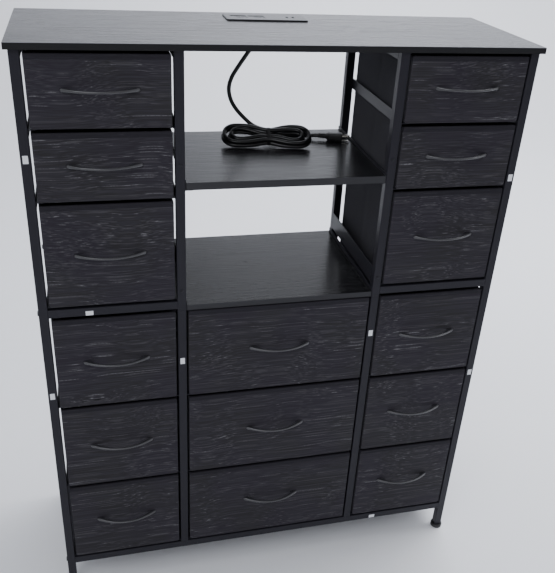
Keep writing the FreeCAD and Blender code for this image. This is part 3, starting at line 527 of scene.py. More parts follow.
def make_finishes(colours, sizes):
    """Every material of the dresser, by the name of its finish."""
    make_groups()
    skin_finish("steel_paint", colours.steel_paint, roughness=0.40, scale=1400.0, depth=0.25,
                dust=0.01, Specular_IOR_Level=0.2)
    print_finish("wood_print", colours.front_print, colours.front_streak, sizes.front_fold)
    film_finish("board_film", colours.board_film, gloss=0.24, roughness=0.21, relief=0.2,
                side=(0.0085, 0.0085, 0.010))
    film_finish("shelf_film", colours.board_film, gloss=0.14, roughness=0.19, relief=0.9,
                side=(0.036, 0.036, 0.040))
    cloth_finish("drawer_cloth", colours.cloth)
    skin_finish("pull_coat", colours.pull_coat, roughness=0.28, scale=1800.0, depth=0.1,
                Specular_IOR_Level=0.9)
    metal_finish("zinc_plate", colours.zinc, roughness=0.35)
    metal_finish("black_screw", colours.black_screw, roughness=0.45)
    skin_finish("glide_plastic", colours.cord, roughness=0.5, scale=900.0, depth=0.3)
    skin_finish("outlet_gloss", colours.outlet, roughness=0.26, scale=1500.0, depth=0.12,
                dust=0.05, Specular_IOR_Level=0.12, Coat_Weight=0.04, Coat_Roughness=0.2)
    skin_finish("lead_skin", colours.cord, roughness=0.32, scale=1200.0, depth=0.12)
    skin_finish("plug_shell", colours.cord, roughness=0.46, scale=1100.0, depth=0.25)
    metal_finish("nickel_plate", colours.nickel, roughness=0.25)
    paper_finish("label_paper", colours.paper)


def wear(piece, finish_name, body=None, replaces=()):
    """Gives a piece its finish and its body, and hides the nodes it stands for."""
    piece.data.materials.clear()
    piece.data.materials.append(bpy.data.materials[finish_name])
    if body:
        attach(piece, body)
    if replaces:
        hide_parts(*replaces)


# Drawer fronts

# Grid lines near the outline, as shares of the edge rounding, and the count of the others
EDGE_STEPS = np.array([0, 0.12, 0.3, 0.55, 0.85, 1.2, 1.8, 2.6, 3.6, 4.8])
FRONT_COLUMNS, FRONT_ROWS = 26, 18
# Radius of the lower corners, as a share of the upper ones'
LOWER_CORNER = 2.1
# Groove along the top fold, and the grid lines over it
FOLD_DEPTH, FOLD_WIDTH, FOLD_FADE = 0.35 * MM, 0.5 * MM, 3 * MM
FOLD_LINES = np.array([-0.9, -0.45, 0, 0.45, 0.9]) * MM


def grid_lines(start, end, count, near, extra=()):
    """Places of grid lines: close together at both ends, even between, and the extra ones."""
    middle = np.linspace(start + near[-1], end - near[-1], count)[1:-1]
    return np.unique(np.concatenate([start + near, middle, end - near, extra]).round(6))


def into_corners(x, z, low, high, radius):
    """Grid of a rectangle drawn into its round corners, with the distance to the outline.

    A point that lies by a and b past a corner's centre moves along its ray to the circle of
    radius max(a, b). The lower corners are rounder than the upper ones.
    """
    middle_x, middle_z = (low.x + high.x) / 2, (low.z + high.z) / 2
    half_x, half_z = (high.x - low.x) / 2, (high.z - low.z) / 2
    corner = np.where(z < middle_z, LOWER_CORNER, 1.0) * radius
    over_x = np.maximum(np.abs(x - middle_x) - (half_x - corner), 0)
    over_z = np.maximum(np.abs(z - middle_z) - (half_z - corner), 0)
    ray = np.hypot(over_x, over_z)
    shrink = np.where(ray > 0, np.maximum(over_x, over_z) / np.maximum(ray, 1e-9), 1)
    x = x - np.sign(x - middle_x) * over_x * (1 - shrink)
    z = z - np.sign(z - middle_z) * over_z * (1 - shrink)
    to_side = np.minimum(half_x - np.abs(x - middle_x), half_z - np.abs(z - middle_z))
    return x, z, np.where(ray > 0, corner - ray * shrink, to_side)


def front_panel(name, low, high, sizes):
    """Front as a height field y(x, z) over a rounded rectangle, with straight sides and a back.

    With e the distance to the outline and R the edge rounding, the face lies back by
    R - sqrt(R^2 - (R - e)^2) near the edge. A groove with a bell-shaped section runs along the
    top fold and fades out towards the outline.
    """
    edge, fold = sizes.front_edge, high.z - sizes.front_fold
    near = EDGE_STEPS * edge
    x, z = np.meshgrid(grid_lines(low.x, high.x, FRONT_COLUMNS, near),
                       grid_lines(low.z, high.z, FRONT_ROWS, near, fold + FOLD_LINES))
    x, z, inside = into_corners(x, z, low, high, sizes.front_corner)
    short = np.clip(edge - inside, 0, edge)
    back_off = edge - np.sqrt(edge ** 2 - short ** 2)
    groove = FOLD_DEPTH * np.exp(-((z - fold) / FOLD_WIDTH) ** 2)
    y = low.y + back_off + groove * np.clip(inside / FOLD_FADE, 0, 1)

    face = np.stack([x, y, z], -1).reshape(-1, 3)
    back = np.stack([x, np.full_like(x, high.y), z], -1).reshape(-1, 3)
    face_sets = slab_faces(*x.shape)
    drop = np.tile(np.stack([x, z - high.z], -1).reshape(-1, 2), (2, 1))
    return put_mesh(name, np.concatenate([face, back]), face_sets,
                    [drop[part] for part in face_sets])


# Cloth bins

# Outline of a bin and the levels of its sides
BIN_CORNER, BIN_CORNER_STEPS, BIN_SIDE_STEPS, BIN_LEVELS = 2.5 * MM, 6, 26, 15
# Floor: its thickness, half the width left flat in its middle, and the foot of the sides
FLOOR_THICK, FLOOR_MIDDLE, SIDE_FOOT = 3.0 * MM, 14 * MM, 2.0 * MM
# Rings further in than this are smaller copies of the outline
SCALED_INSET = 6 * MM
# Upright fold pressed into the sides, and the small creases
PRESS_DEPTH, PRESS_WIDTH, PRESS_PLACE = 0.9 * MM, 2.0 * MM, 6 * MM
CREASE_DEPTH = 0.22 * MM


def bin_profile(low, high, middle, wall, hem):
    """Section of a bin's skin: insets from the outline, heights, and 1 where the side is soft.

    It runs from the middle of the floor's underside up the outside, over the hem, which stands
    out by 0.3 mm, and down the inside to the middle of the floor.
    """
    def steps(pairs, base, soft, start=0):
        """Points from pairs of inset and height in millimetres."""
        return [(start + inset * MM, base + rise * MM, soft) for inset, rise in pairs]

    up = np.linspace(0, 1, BIN_LEVELS)
    hem_low, floor, foot = high - hem, low + FLOOR_THICK, low + SIDE_FOOT
    profile = [(middle, low, 0)] + steps([(9, 0), (2.4, 0), (1.1, 0.5), (0.5, 1.2)], low, 0)
    profile += [(0.3 * MM, z, 1) for z in foot + up * (hem_low - foot)]
    profile += steps([(-0.25, 0.5), (-0.3, 2), (0, 3.2), (-0.3, 4.4)], hem_low, 1)
    profile += steps([(-0.3, -1.5), (0.1, -0.4), (1.2, 0), (2.4, -0.4)], high, 1)
    profile += steps([(0.4, -1.5)], high, 1, wall)
    profile += [(wall + 0.3 * MM, z, 1) for z in (floor + up * (high - floor))[::-1][1:-1]]
    profile += steps([(0.6, 0.2), (3, 0)], floor, 0, wall)
    profile += steps([(9, 0)], floor, 0) + [(middle, floor, 0)]
    return [np.array(part) for part in zip(*profile)]


def cloth_bin(name, low, high, sizes, seed):
    """Open cloth tray: one closed skin carried along the section of bin_profile.

    Each ring is the rounded outline, moved in along its normals, or on the floor a smaller copy
    of it. The sides stand out in their lower half, are drawn in at the rim, carry a pressed
    upright fold at half depth and a few small creases, which are sums of sines.
    """
    half_x, half_y = (high.x - low.x) / 2, (high.y - low.y) / 2
    centre = np.array([(low.x + high.x) / 2, (low.y + high.y) / 2])
    outline, normals, run = rounded_box_outline(
        half_x, half_y, BIN_CORNER, BIN_CORNER_STEPS, BIN_SIDE_STEPS)
    inset, level, soft = bin_profile(
        low.z, high.z, half_y - FLOOR_MIDDLE, sizes.cloth_wall, sizes.cloth_hem)

    share = np.clip((level - low.z) / (high.z - low.z), 0, 1)[:, None]
    along_x, along_y = outline[None, :, 0] / half_x, outline[None, :, 1] / half_y
    side = np.abs(normals[None, :, 0]) * np.clip(1.15 - along_y ** 2, 0, 1)
    rear = np.clip(normals[None, :, 1], 0, 1) * np.clip(1 - along_x ** 2, 0, 1)
    rng = np.random.default_rng(seed)
    phase, size = rng.uniform(0, 2 * np.pi, 5), rng.uniform(0.5, 1.0, 5)
    bulge = sizes.cloth_bulge * np.sin(np.pi * np.clip(share * 1.35, 0, 1)) * size[0]
    pull = sizes.cloth_pull * share ** 2 * size[1]
    press = PRESS_DEPTH * np.exp(-((outline[None, :, 1] - PRESS_PLACE) / PRESS_WIDTH) ** 2)
    creases = CREASE_DEPTH * (np.sin(9 * along_y + 5 * share + phase[2])
                              + np.sin(5 * along_y - 8 * share + phase[3]))
    shift = soft[:, None] * (side * (bulge - pull - press + creases * 0.7)
                             + rear * (0.6 * bulge - pull * 0.4 + creases))
    moved = centre + outline[None] + normals[None] * (shift - inset[:, None])[..., None]
    keep = (np.array([half_x, half_y]) - inset[:, None]) / (half_x, half_y)
    scaled = centre + outline[None] * keep[:, None, :]
    flat = np.where((inset > SCALED_INSET)[:, None, None], scaled, moved)
    height = np.broadcast_to(level[:, None, None], flat.shape[:2] + (1,))
    path = np.concatenate([[0], np.cumsum(np.hypot(np.diff(inset), np.diff(level)))])
    maps = np.stack(np.broadcast_arrays(run[None, :], path[:, None]), -1)
    return put_rings(name, np.concatenate([flat, height], -1), maps)


# Pulls and their screws

# Slices of a pull along it and round it, and the tip in which it closes
PULL_SLICES, PULL_AROUND, PULL_POWER = 65, 24, 2.8
PULL_TIP, PULL_LEAST = 4 * MM, 0.003
# Screw head: rings as shares of its radius, and the cross recess
HEAD_RINGS = np.array([0.02, 0.12, 0.22, 0.32, 0.42, 0.55, 0.7, 0.82, 0.91, 0.97, 1.0])
HEAD_AROUND = 32
CROSS_ARM, CROSS_REACH, CROSS_DEEP = 0.45 * MM, 0.42, 0.8 * MM
SCREW_RADIUS, BIN_FRONT_WALL = 4 * MM, 2.5 * MM


def arc_height(x, half_chord, base, rise):
    """Height of a circular arc over its chord."""
    radius = (half_chord ** 2 + rise ** 2) / (2 * rise)
    return base + np.sqrt(np.maximum(radius ** 2 - x ** 2, 0)) - (radius - rise)


def bow_pull(name, middle, half, reach, sizes):
    """Bow pull as upright slices along x, each a superellipse between two arcs.

    The outer arc runs from the toe over the reach, the inner one from foot to foot. The height
    follows a parabola from the ends to the waist. Over the tip's length the slices close in a
    quarter of an ellipse.
    """
    x = half * np.sin(np.linspace(-np.pi / 2, np.pi / 2, PULL_SLICES))
    outer = arc_height(x, half, sizes.pull_toe, reach - sizes.pull_toe)
    inner = np.maximum(arc_height(x, half - sizes.pull_foot, 0, reach - sizes.pull_bar), 0)
    inner = np.where(np.abs(x) > half - sizes.pull_foot, 0, inner)
    height = sizes.pull_middle / 2 + (sizes.pull_end - sizes.pull_middle) / 2 * (x / half) ** 2
    in_tip = np.maximum(np.abs(x) - half + PULL_TIP, 0) / PULL_TIP
    close = np.sqrt(np.clip(1 - in_tip ** 2, PULL_LEAST, 1))
    a, b = superellipse(PULL_AROUND, PULL_POWER)
    y = -(outer + inner)[:, None] / 2 - ((outer - inner) / 2 * close)[:, None] * a
    z = (height * close)[:, None] * b
    rings = np.stack([np.broadcast_to(x[:, None], y.shape), y, z], -1) + np.array(middle)
    return put_rings(name, rings)


def screw_head(name, centre, radius, tall):
    """Pan head as a dome over a disc, facing +y, with a cross recess.

    Height is tall * (1 - (r/R)^4)^0.5, less the recess inside the cross |a| < arm, |b| < reach
    times R, and the same with a and b changed over.
    """
    angle = np.linspace(0, 2 * np.pi, HEAD_AROUND, endpoint=False)
    a, b = (HEAD_RINGS[:, None] * radius * way for way in (np.cos(angle), np.sin(angle)))
    dome = tall * np.sqrt(np.clip(1 - HEAD_RINGS ** 4, 0, 1))[:, None]
    reach = CROSS_REACH * radius
    cross = (((np.abs(a) < CROSS_ARM) & (np.abs(b) < reach))
             | ((np.abs(b) < CROSS_ARM) & (np.abs(a) < reach)))
    top = np.stack([a, dome - CROSS_DEEP * cross, b], -1)
    base = np.stack([a[-1:], np.zeros_like(a[-1:]), b[-1:]], -1)
    return put_rings(name, np.concatenate([top, base]) + np.array(centre))


# Cord, tie and plug

# Route of the lead outside its turns: from the boot to the tie, and from the tie to the plug
LEAD = [(-0.0300, 0.1030, 1.2340), (-0.0452, 0.1030, 1.2125), (-0.0587, 0.1028, 1.1926),
        (-0.0718, 0.1024, 1.1724), (-0.0783, 0.1018, 1.1481), (-0.0728, 0.1008, 1.1232),
        (-0.0595, 0.0989, 1.1023), (-0.0425, 0.0960, 1.0849), (-0.0220, 0.0885, 1.0675)]
TAIL = [(0.0450, 0.0920, 1.0455), (0.0680, 0.1000, 1.0402), (0.0900, 0.1030, 1.0402),
        (0.1060, 0.0985, 1.0418), (0.1187, 0.0933, 1.0448), (0.1273, 0.0906, 1.0448)]
PLUG_YAW = math.radians(-17.5)
# Hank: its turns, its middle, its reach to both sides of the tie, half its width at the ends and
# at the tie, the spacing of its strands, and the share of the reach at which it is full width
HANK_TURNS = 4
HANK_MIDDLE = np.array([0.0043, 0.0580, 1.05597])
HANK_LEFT, HANK_RIGHT = 0.071, 0.064
HANK_WIDE, HANK_SLIM, HANK_PITCH = 0.0205, 0.0106, 0.0100
HANK_SPREAD = 0.8
SQUARE_RADIUS = HANK_PITCH / math.sqrt(2)
RUN_STEPS, END_STEPS = 7, 9
# Where the last strand leaves the square: at the tie, halfway and at the spread
LEAVING_ASIDE = (0.0100, 0.0072, 0.0050)
LEAVING_ABOVE = (-0.0134, -0.0100, -0.0050)
# Each turn's own reach and how far its front run stands out
REACH_CHANGES = (0.0, -0.006, -0.003, 0.002)
SWAYS = (0.0, -0.002, -0.005, 0.0015)
HANK_TILT, HANK_YAW = math.radians(26), math.radians(-8)
LENGTHWISE = np.array([math.cos(HANK_YAW), math.sin(HANK_YAW), 0])
ACROSS = np.array([-math.sin(HANK_YAW) * math.cos(HANK_TILT),
                   math.cos(HANK_YAW) * math.cos(HANK_TILT), math.sin(HANK_TILT)])
OVER = np.cross(LENGTHWISE, ACROSS)


def in_hank(along, across, over):
    """Points of the hank's own axes in the part's frame."""
    return (HANK_MIDDLE + along[..., None] * LENGTHWISE + across[..., None] * ACROSS
            + over[..., None] * OVER)


def hank_turn(turn):
    """Points of one turn: the half to the right of the tie, then the half to its left.

    Each half widens from the tie with a smooth step up to the spread, runs straight to the
    turn's reach, goes round the end in a half circle and comes home the same way. The strands
    lie at the corners of a square; along the back each turns by an eighth on either side of the
    tie, and so reaches the next corner. The runs at the front stand out by the turn's sway,
    times the squared sine of the share run.
    """
    share = np.linspace(0, 1, RUN_STEPS)
    widen = HANK_SLIM + (HANK_WIDE - HANK_SLIM) * share ** 2 * (3 - 2 * share)
    arc = np.linspace(np.pi / 2, -np.pi / 2, END_STEPS)
    ring = np.stack([np.cos(arc), np.sin(arc)], -1)
    still, own_corner = np.zeros(RUN_STEPS), np.full(RUN_STEPS, float(turn))
    sway = SWAYS[turn] * np.sin(np.pi * share) ** 2
    points = []
    for sign, side_reach in ((1, HANK_RIGHT), (-1, HANK_LEFT)):
        reach, spread = side_reach + REACH_CHANGES[turn], side_reach * HANK_SPREAD
        slope = (HANK_WIDE - HANK_SLIM) * 6 * share * (1 - share) / spread
        side = np.stack([-slope, np.ones_like(share)], -1) / np.hypot(1, slope)[:, None]
        line = np.stack([share * spread, widen], -1)
        end = np.array([reach, 0]) + HANK_WIDE * ring
        if sign > 0:
            corner_out, corner_home = turn - 0.5 + 0.5 * share, own_corner
            sway_out, sway_home = still, sway
        else:
            corner_out, corner_home = own_corner, turn + 0.5 - 0.5 * share
            sway_out, sway_home = sway, still
        corner = np.concatenate([corner_out, np.full(END_STEPS, turn), corner_home[::-1]])
        angle = (corner + 0.5) * np.pi / 2
        aside = SQUARE_RADIUS * np.cos(angle) + np.concatenate([
            sway_out, np.zeros(END_STEPS), sway_home[::-1]])
        above = SQUARE_RADIUS * np.sin(angle)
        if sign < 0 and turn == HANK_TURNS - 1:
            aside[-RUN_STEPS:] = np.interp(share[::-1], (0, 0.5, 1), LEAVING_ASIDE)
            above[-RUN_STEPS:] = np.interp(share[::-1], (0, 0.5, 1), LEAVING_ABOVE)
        flat = np.concatenate([line, end, (line * (1, -1))[::-1]]) * sign
        outward = np.concatenate([side, ring, (side * (1, -1))[::-1]]) * sign
        place = flat + outward * aside[:, None]
        points.append(in_hank(place[:, 0], place[:, 1], above)[:-1])
    return np.concatenate(points)


def hank_points():
    """Points of all turns, up to the tie where the last strand leaves them."""
    turns = [hank_turn(turn) for turn in range(HANK_TURNS)]
    last = in_hank(np.zeros(1), np.array([HANK_SLIM + LEAVING_ASIDE[0]]),
                   np.array([LEAVING_ABOVE[0]]))
    return np.concatenate(turns + [last])


def tie_strands():
    """Places of all strands at the tie, across and over in the hank's own axes."""
    turn = np.arange(HANK_TURNS)
    front, back = (turn + 0.5) * np.pi / 2, turn * np.pi / 2
    return np.concatenate([
        np.stack([-HANK_SLIM - SQUARE_RADIUS * np.cos(front), SQUARE_RADIUS * np.sin(front)], -1),
        np.stack([HANK_SLIM + SQUARE_RADIUS * np.cos(back), SQUARE_RADIUS * np.sin(back)], -1),
        [[HANK_SLIM + LEAVING_ASIDE[0], LEAVING_ABOVE[0]]]])


def put_cord(name, points, width):
    """Round cord on one smooth spline through its control points."""
    line = bpy.data.curves.new(name, "CURVE")
    line.dimensions = "3D"
    line.bevel_depth = width / 2
    line.bevel_resolution = 5
    line.use_fill_caps = True
    spline = line.splines.new("NURBS")
    spline.points.add(len(points) - 1)
    spline.points.foreach_set("co", np.c_[np.asarray(points), np.ones(len(points))].ravel())
    spline.order_u = 3
    spline.use_endpoint_u = True
    spline.resolution_u = 6
    made = bpy.data.objects.new(name, line)
    bpy.context.scene.collection.objects.link(made)
    return made


def spline_length(cord):
    """Length of a cord's own spline, read from the curve with no bevel."""
    line = cord.data.copy()
    line.bevel_depth = 0
    bare = bpy.data.objects.new("bare", line)
    mesh = bpy.data.meshes.new_from_object(bare)
    points = np.array([vertex.co for vertex in mesh.vertices])
    bpy.data.objects.remove(bare)
    return float(np.linalg.norm(np.diff(points, axis=0), axis=1).sum())


TIE_WIDE, TIE_THICK, TIE_SLACK = 7 * MM, 1.0 * MM, 0.1 * MM


def tie_band(name, strands, width, wide, thick):
    """Band pulled tight round the strands: at every angle the outermost strand gives a point on
    its own circle, and straight runs join the circles. The section is a flat superellipse."""
    angle = np.linspace(0, 2 * np.pi, 120, endpoint=False)
    way = np.stack([np.cos(angle), np.sin(angle)], -1)
    outermost = np.argmax(way @ strands.T, axis=1)
    loop = strands[outermost] + way * (width / 2 + thick / 2 + TIE_SLACK)
    a, b = superellipse(16, 3.0)
    flat = loop[:, None] + way[:, None] * (b * thick / 2)[None, :, None]
    along = np.broadcast_to(a * wide / 2, flat.shape[:2])
    points = in_hank(along, flat[..., 0], flat[..., 1])
    rows, columns = points.shape[:2]
    faces, _, _ = quads(rows + 1, columns, around=True)
    return put_mesh(name, points.reshape(-1, 3), [faces % (rows * columns)])


def turned(points, start, angle):
    """Points that were made along +X from start, turned about the upright through it."""
    c, s = math.cos(angle), math.sin(angle)
    spin = np.array([[c, -s, 0], [s, c, 0], [0, 0, 1]])
    return points @ spin.T + np.array(start)


# Plug, in millimetres from the end of the cord: the ribbed relief, the shoulder and the grip
RELIEF_LENGTH, RELIEF_START, RELIEF_GROWTH, GROWTH_LENGTH = 17, 5.3, 0.7, 18
RIB_PITCH, RIB_PLACE, RIB_HEIGHT, RIB_STEEPNESS, RIBS_END = 4, 2.0, 0.9, 1.6, 16.2
SHOULDER_START, SHOULDER_LENGTH = 16.5, 8.5
WAIST_PLACE, WAIST_WIDTH, WAIST_SHARE = 38, 7, 0.05
FACE_START, FACE_LENGTH, FACE_SHARE = 52, 2, 0.06
GRIP_SLICES = [17.4, 18, 18.8, 20, 21.5, 23.5, 26, 29, 32, 36, 40, 44, 48, 51, 53, 53.7, 54]
PLUG_HALF_WIDE, PLUG_HALF_TALL, GRIP_POWER = 11.5, 9.0, 4.4
# Blades and ground pin, and the share of their length at which the tip starts to close
PIN_ROOT, PIN_LENGTH = 53.8 * MM, 17.2 * MM
BLADE_ASIDE, BLADE_PLACE, GROUND_PLACE = 6.35 * MM, -3.5 * MM, 7 * MM
BLADE_WIDE, BLADE_THICK, GROUND_WIDE = 6.3 * MM, 1.5 * MM, 4.8 * MM
TIP_START, TIP_SPAN, TIP_LEAST = 0.86, 0.15, 0.02
PIN_SLICES = np.array([0, 0.5, TIP_START, 0.93, 0.97, 0.99, 1.0])


def plug_body(name):
    """Moulded plug along x: superellipse slices whose half sizes run from the relief's radius to
    the grip's by a smooth step over the shoulder.

    The relief widens evenly and has ribs cut off from a cosine. The grip is waisted by a bell
    curve and drawn in at its face. The slices turn from circles to rounded squares.
    """
    x = np.concatenate([np.linspace(0, RELIEF_LENGTH, 61), GRIP_SLICES])
    wave = np.clip(np.cos(2 * np.pi * (x - RIB_PLACE) / RIB_PITCH) * RIB_STEEPNESS, -1, 1)
    ribs = RELIEF_START + RELIEF_GROWTH * x / GROWTH_LENGTH + RIB_HEIGHT * wave * (x < RIBS_END)
    swell = np.clip((x - SHOULDER_START) / SHOULDER_LENGTH, 0, 1)
    swell = swell * swell * (3 - 2 * swell)
    grip = (1 - WAIST_SHARE * np.exp(-((x - WAIST_PLACE) / WAIST_WIDTH) ** 2)
            - FACE_SHARE * np.clip((x - FACE_START) / FACE_LENGTH, 0, 1) ** 2)
    half_y, half_z = ((ribs + (half - ribs) * swell) * grip
                      for half in (PLUG_HALF_WIDE, PLUG_HALF_TALL))
    power = (2 + (GRIP_POWER - 2) * swell)[:, None]
    angle = np.linspace(0, 2 * np.pi, 40, endpoint=False)
    a, b = (np.sign(way) * np.abs(way) ** (2 / power)
            for way in (np.cos(angle)[None], np.sin(angle)[None]))
    rings = np.stack([np.broadcast_to(x[:, None], a.shape), half_y[:, None] * a,
                      half_z[:, None] * b], -1) * MM
    return put_rings(name, turned(rings, TAIL[-1], PLUG_YAW))


def blade(name, offset, wide, thick, power):
    """Blade or pin along x from the plug's face: superellipse slices that close at the tip in a
    quarter of an ellipse."""
    closing = np.clip(PIN_SLICES - TIP_START, 0, 1) / TIP_SPAN
    close = np.sqrt(np.clip(1 - closing ** 2, TIP_LEAST, 1))[:, None]
    a, b = superellipse(20, power)
    reach = np.broadcast_to(PIN_SLICES[:, None] * PIN_LENGTH, (len(PIN_SLICES), len(a)))
    rings = np.stack([reach, close * a * wide / 2, close * b * thick / 2], -1)
    return put_rings(name, turned(rings + np.array(offset), TAIL[-1], PLUG_YAW))


# Operators: one for each piece or group of like pieces

# Floor that runs up into the wall behind, in metres
FLOOR_HALF, FLOOR_FRONT, FLOOR_BACK, FLOOR_CURVE, WALL_TOP = 6.0, -5.0, 3.0, 1.5, 7.0
# Lamps: name, setting of the power, side, place and aim
LAMPS = (("key_light", "key_power", 2.4, (-1.6, -2.4, 3.2), (0, 0, 0.8)),
         ("back_light", "rim_power", 2.6, (1.2, 2.0, 3.0), (0, 0, 1.0)),
         ("wall_light", "wall_power", 3.0, (2.0, 0.8, 4.2), (3.0, 4.2, 1.0)))
LIGHT_COLOUR = (0.93, 0.95, 1.0)
# Camera of the photograph: focal length, size and middle in pixels, place and turns in degrees
FOCAL_PIXELS, PICTURE_WIDTH, PICTURE_HEIGHT = 756.71, 555, 573
MIDDLE_U, MIDDLE_V = 292.654, 288.491
CAMERA_PLACE = (-0.3723, -1.4984, 1.5610)
CAMERA_YAW, CAMERA_PITCH, CAMERA_ROLL = -16.2996, 28.768, -3.9337
# Bare labels on the posts, by post and height, and on the crossbars, by place and height
POST_LABELS = (("left", 1.089), ("left", 0.571), ("middle_left", 0.631),
               ("middle_right", 0.660), ("right", 1.022), ("right", 0.521))
BAR_LABELS = ((-0.396, 0.767), (0.282, 0.080))
LABEL_GAP, LABEL_THICK, LABEL_CURL = 0.15 * MM, 0.12 * MM, 0.2 * MM
# Side of a post's tube, and the middle of the middle posts from the dresser's own middle
TUBE, MIDDLE_POST = 18 * MM, 212 * MM


class MakeStage(bpy.types.Operator):
    """Floor, lights and the camera of the reference view"""
    bl_idname = "dresser.make_stage"
    bl_label = "Stage"

    def execute(self, context):
        scene = context.scene
        self.put_floor(scene.dresser_colours.floor)
        self.put_air(scene)
        for name, power, side, place, aim in LAMPS:
            light = bpy.data.lights.new(name, "AREA")
            light.shape, light.size = "SQUARE", side
            light.energy, light.color = getattr(scene.dresser_stage, power), LIGHT_COLOUR
            lamp = bpy.data.objects.new(name, light)
            lamp.location = place
            way = Vector(aim) - Vector(place)
            lamp.rotation_euler = way.to_track_quat("-Z", "Y").to_euler()
            scene.collection.objects.link(lamp)
        self.put_camera(scene)
        return {"FINISHED"}

    def put_floor(self, colour):
        """Flat floor, a quarter circle up from it and an upright wall."""
        floor_finish("studio_floor", colour)
        turn = np.linspace(0.05, np.pi / 2, 16)
        depth = np.concatenate([[FLOOR_FRONT, FLOOR_BACK],
                                FLOOR_BACK + FLOOR_CURVE * np.sin(turn),
                                [FLOOR_BACK + FLOOR_CURVE]])
        rise = np.concatenate([[0, 0], FLOOR_CURVE - FLOOR_CURVE * np.cos(turn), [WALL_TOP]])
        u, v = np.meshgrid([-FLOOR_HALF, FLOOR_HALF], depth)
        points = np.stack([u, v, np.broadcast_to(rise[:, None], u.shape)], -1)
        faces, _, _ = quads(*u.shape)
        floor = put_mesh("studio_floor", points.reshape(-1, 3), [faces])
        floor.data.materials.append(bpy.data.materials["studio_floor"])

    def put_air(self, scene):
        """Even pale air, dimmed towards the front, where the room lies in shade.

        The share of the dim side runs with the y of the direction, from 0.1 to -0.5.
        """
        world = bpy.data.worlds.new("studio_air")
        world.use_nodes = True
        tree = world.node_tree
        way = node(tree, "ShaderNodeSeparateXYZ", {
            0: node(tree, "ShaderNodeTexCoord").outputs["Generated"]})
        front = ramp(tree, way.outputs[1], 0.1, -0.5, 1.0, scene.dresser_stage.front_dim)
        seen = node(tree, "ShaderNodeLightPath").outputs["Is Camera Ray"]
        share = math_node(tree, "MAXIMUM", front, seen)
        air = tree.nodes["Background"]
        air.inputs["Color"].default_value = (*LIGHT_COLOUR, 1)
        feed(tree, air, Strength=times(tree, share, scene.dresser_stage.room_light))
        scene.world = world

    def put_camera(self, scene):
        """Camera solved from the photograph's straight edges: place, three turns and lens."""
        eye = bpy.data.cameras.new("reference_view")
        eye.lens = FOCAL_PIXELS * eye.sensor_width / PICTURE_HEIGHT
        eye.shift_x = (PICTURE_WIDTH / 2 - MIDDLE_U) / PICTURE_HEIGHT
        eye.shift_y = (MIDDLE_V - PICTURE_HEIGHT / 2) / PICTURE_HEIGHT
        camera = bpy.data.objects.new("reference_view", eye)
        camera.matrix_world = (
            Matrix.Translation(CAMERA_PLACE)
            @ Matrix.Rotation(math.radians(CAMERA_YAW), 4, "Z")
            @ Matrix.Rotation(math.radians(-CAMERA_PITCH), 4, "X")
            @ Matrix.Rotation(math.radians(CAMERA_ROLL), 4, "Y")
            @ Matrix.Rotation(math.pi / 2, 4, "X"))
        scene.collection.objects.link(camera)
        scene.camera = camera


class MakeCord(bpy.types.Operator):
    """Mains lead with its hank, tie and plug"""
    bl_idname = "dresser.make_cord"
    bl_label = "Lead, hank and plug"

    def execute(self, context):
        sizes = context.scene.dresser_sizes
        points = np.concatenate([LEAD, hank_points(), TAIL])
        lead = put_cord("mains_lead", points, sizes.cord_width)
        wear(lead, "lead_skin", FRAME_BODY, ["cord_lead", "cord_hank"])

        tie = tie_band("lead_tie", tie_strands(), sizes.cord_width, TIE_WIDE, TIE_THICK)
        wear(tie, "glide_plastic", FRAME_BODY, ["cord_tie"])

        body = plug_body("plug_body")
        wear(body, "plug_shell", FRAME_BODY, ["plug"])
        pins = [blade("pin", (PIN_ROOT, BLADE_PLACE, side * BLADE_ASIDE), BLADE_WIDE,
                      BLADE_THICK, 6) for side in (-1, 1)]
        pins.append(blade("pin", (PIN_ROOT, GROUND_PLACE, 0), GROUND_WIDE, GROUND_WIDE, 2))
        metal = join("plug_pins", pins)
        wear(metal, "nickel_plate", FRAME_BODY)
        spline_length(lead)
        return {"FINISHED"}


class DressFrame(bpy.types.Operator):
    """Powder coat, boards, glides, screws and the outlet"""
    bl_idname = "dresser.dress_frame"
    bl_label = "Frame, boards and outlet"

    def execute(self, context):
        finishes = {"frame_paint": "steel_paint", "board_laminate": "board_film",
                    "foot_plastic": "glide_plastic", "screw_steel": "black_screw",
                    "outlet_plastic": "outlet_gloss"}
        for part in frame["record"]["subparts"]:
            finish_name = finishes.get(part["material_slot"])
            if part["node"].endswith("_shelf"):
                finish_name = "shelf_film"
            if finish_name:
                wear(frame["nodes"][part["node"]], finish_name)
        return {"FINISHED"}


class MakeFronts(bpy.types.Operator):
    """Printed drawer fronts"""
    bl_idname = "dresser.make_fronts"
    bl_label = "Drawer fronts"

    def execute(self, context):
        sizes = context.scene.dresser_sizes
        for body in DRAWERS:
            node_name = body + "_front"
            panel = front_panel(body + "_panel", *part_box(node_name), sizes)
            wear(panel, "wood_print", body, [node_name])
        return {"FINISHED"}


class MakeBins(bpy.types.Operator):
    """Cloth trays of the drawers"""
    bl_idname = "dresser.make_bins"
    bl_label = "Cloth bins"

    def execute(self, context):
        sizes = context.scene.dresser_sizes
        for index, body in enumerate(DRAWERS):
            node_name = body + "_bin"
            tray = cloth_bin(body + "_cloth", *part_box(node_name), sizes,
                             sizes.crease_seed + index)
            wear(tray, "drawer_cloth", body, [node_name])
        return {"FINISHED"}


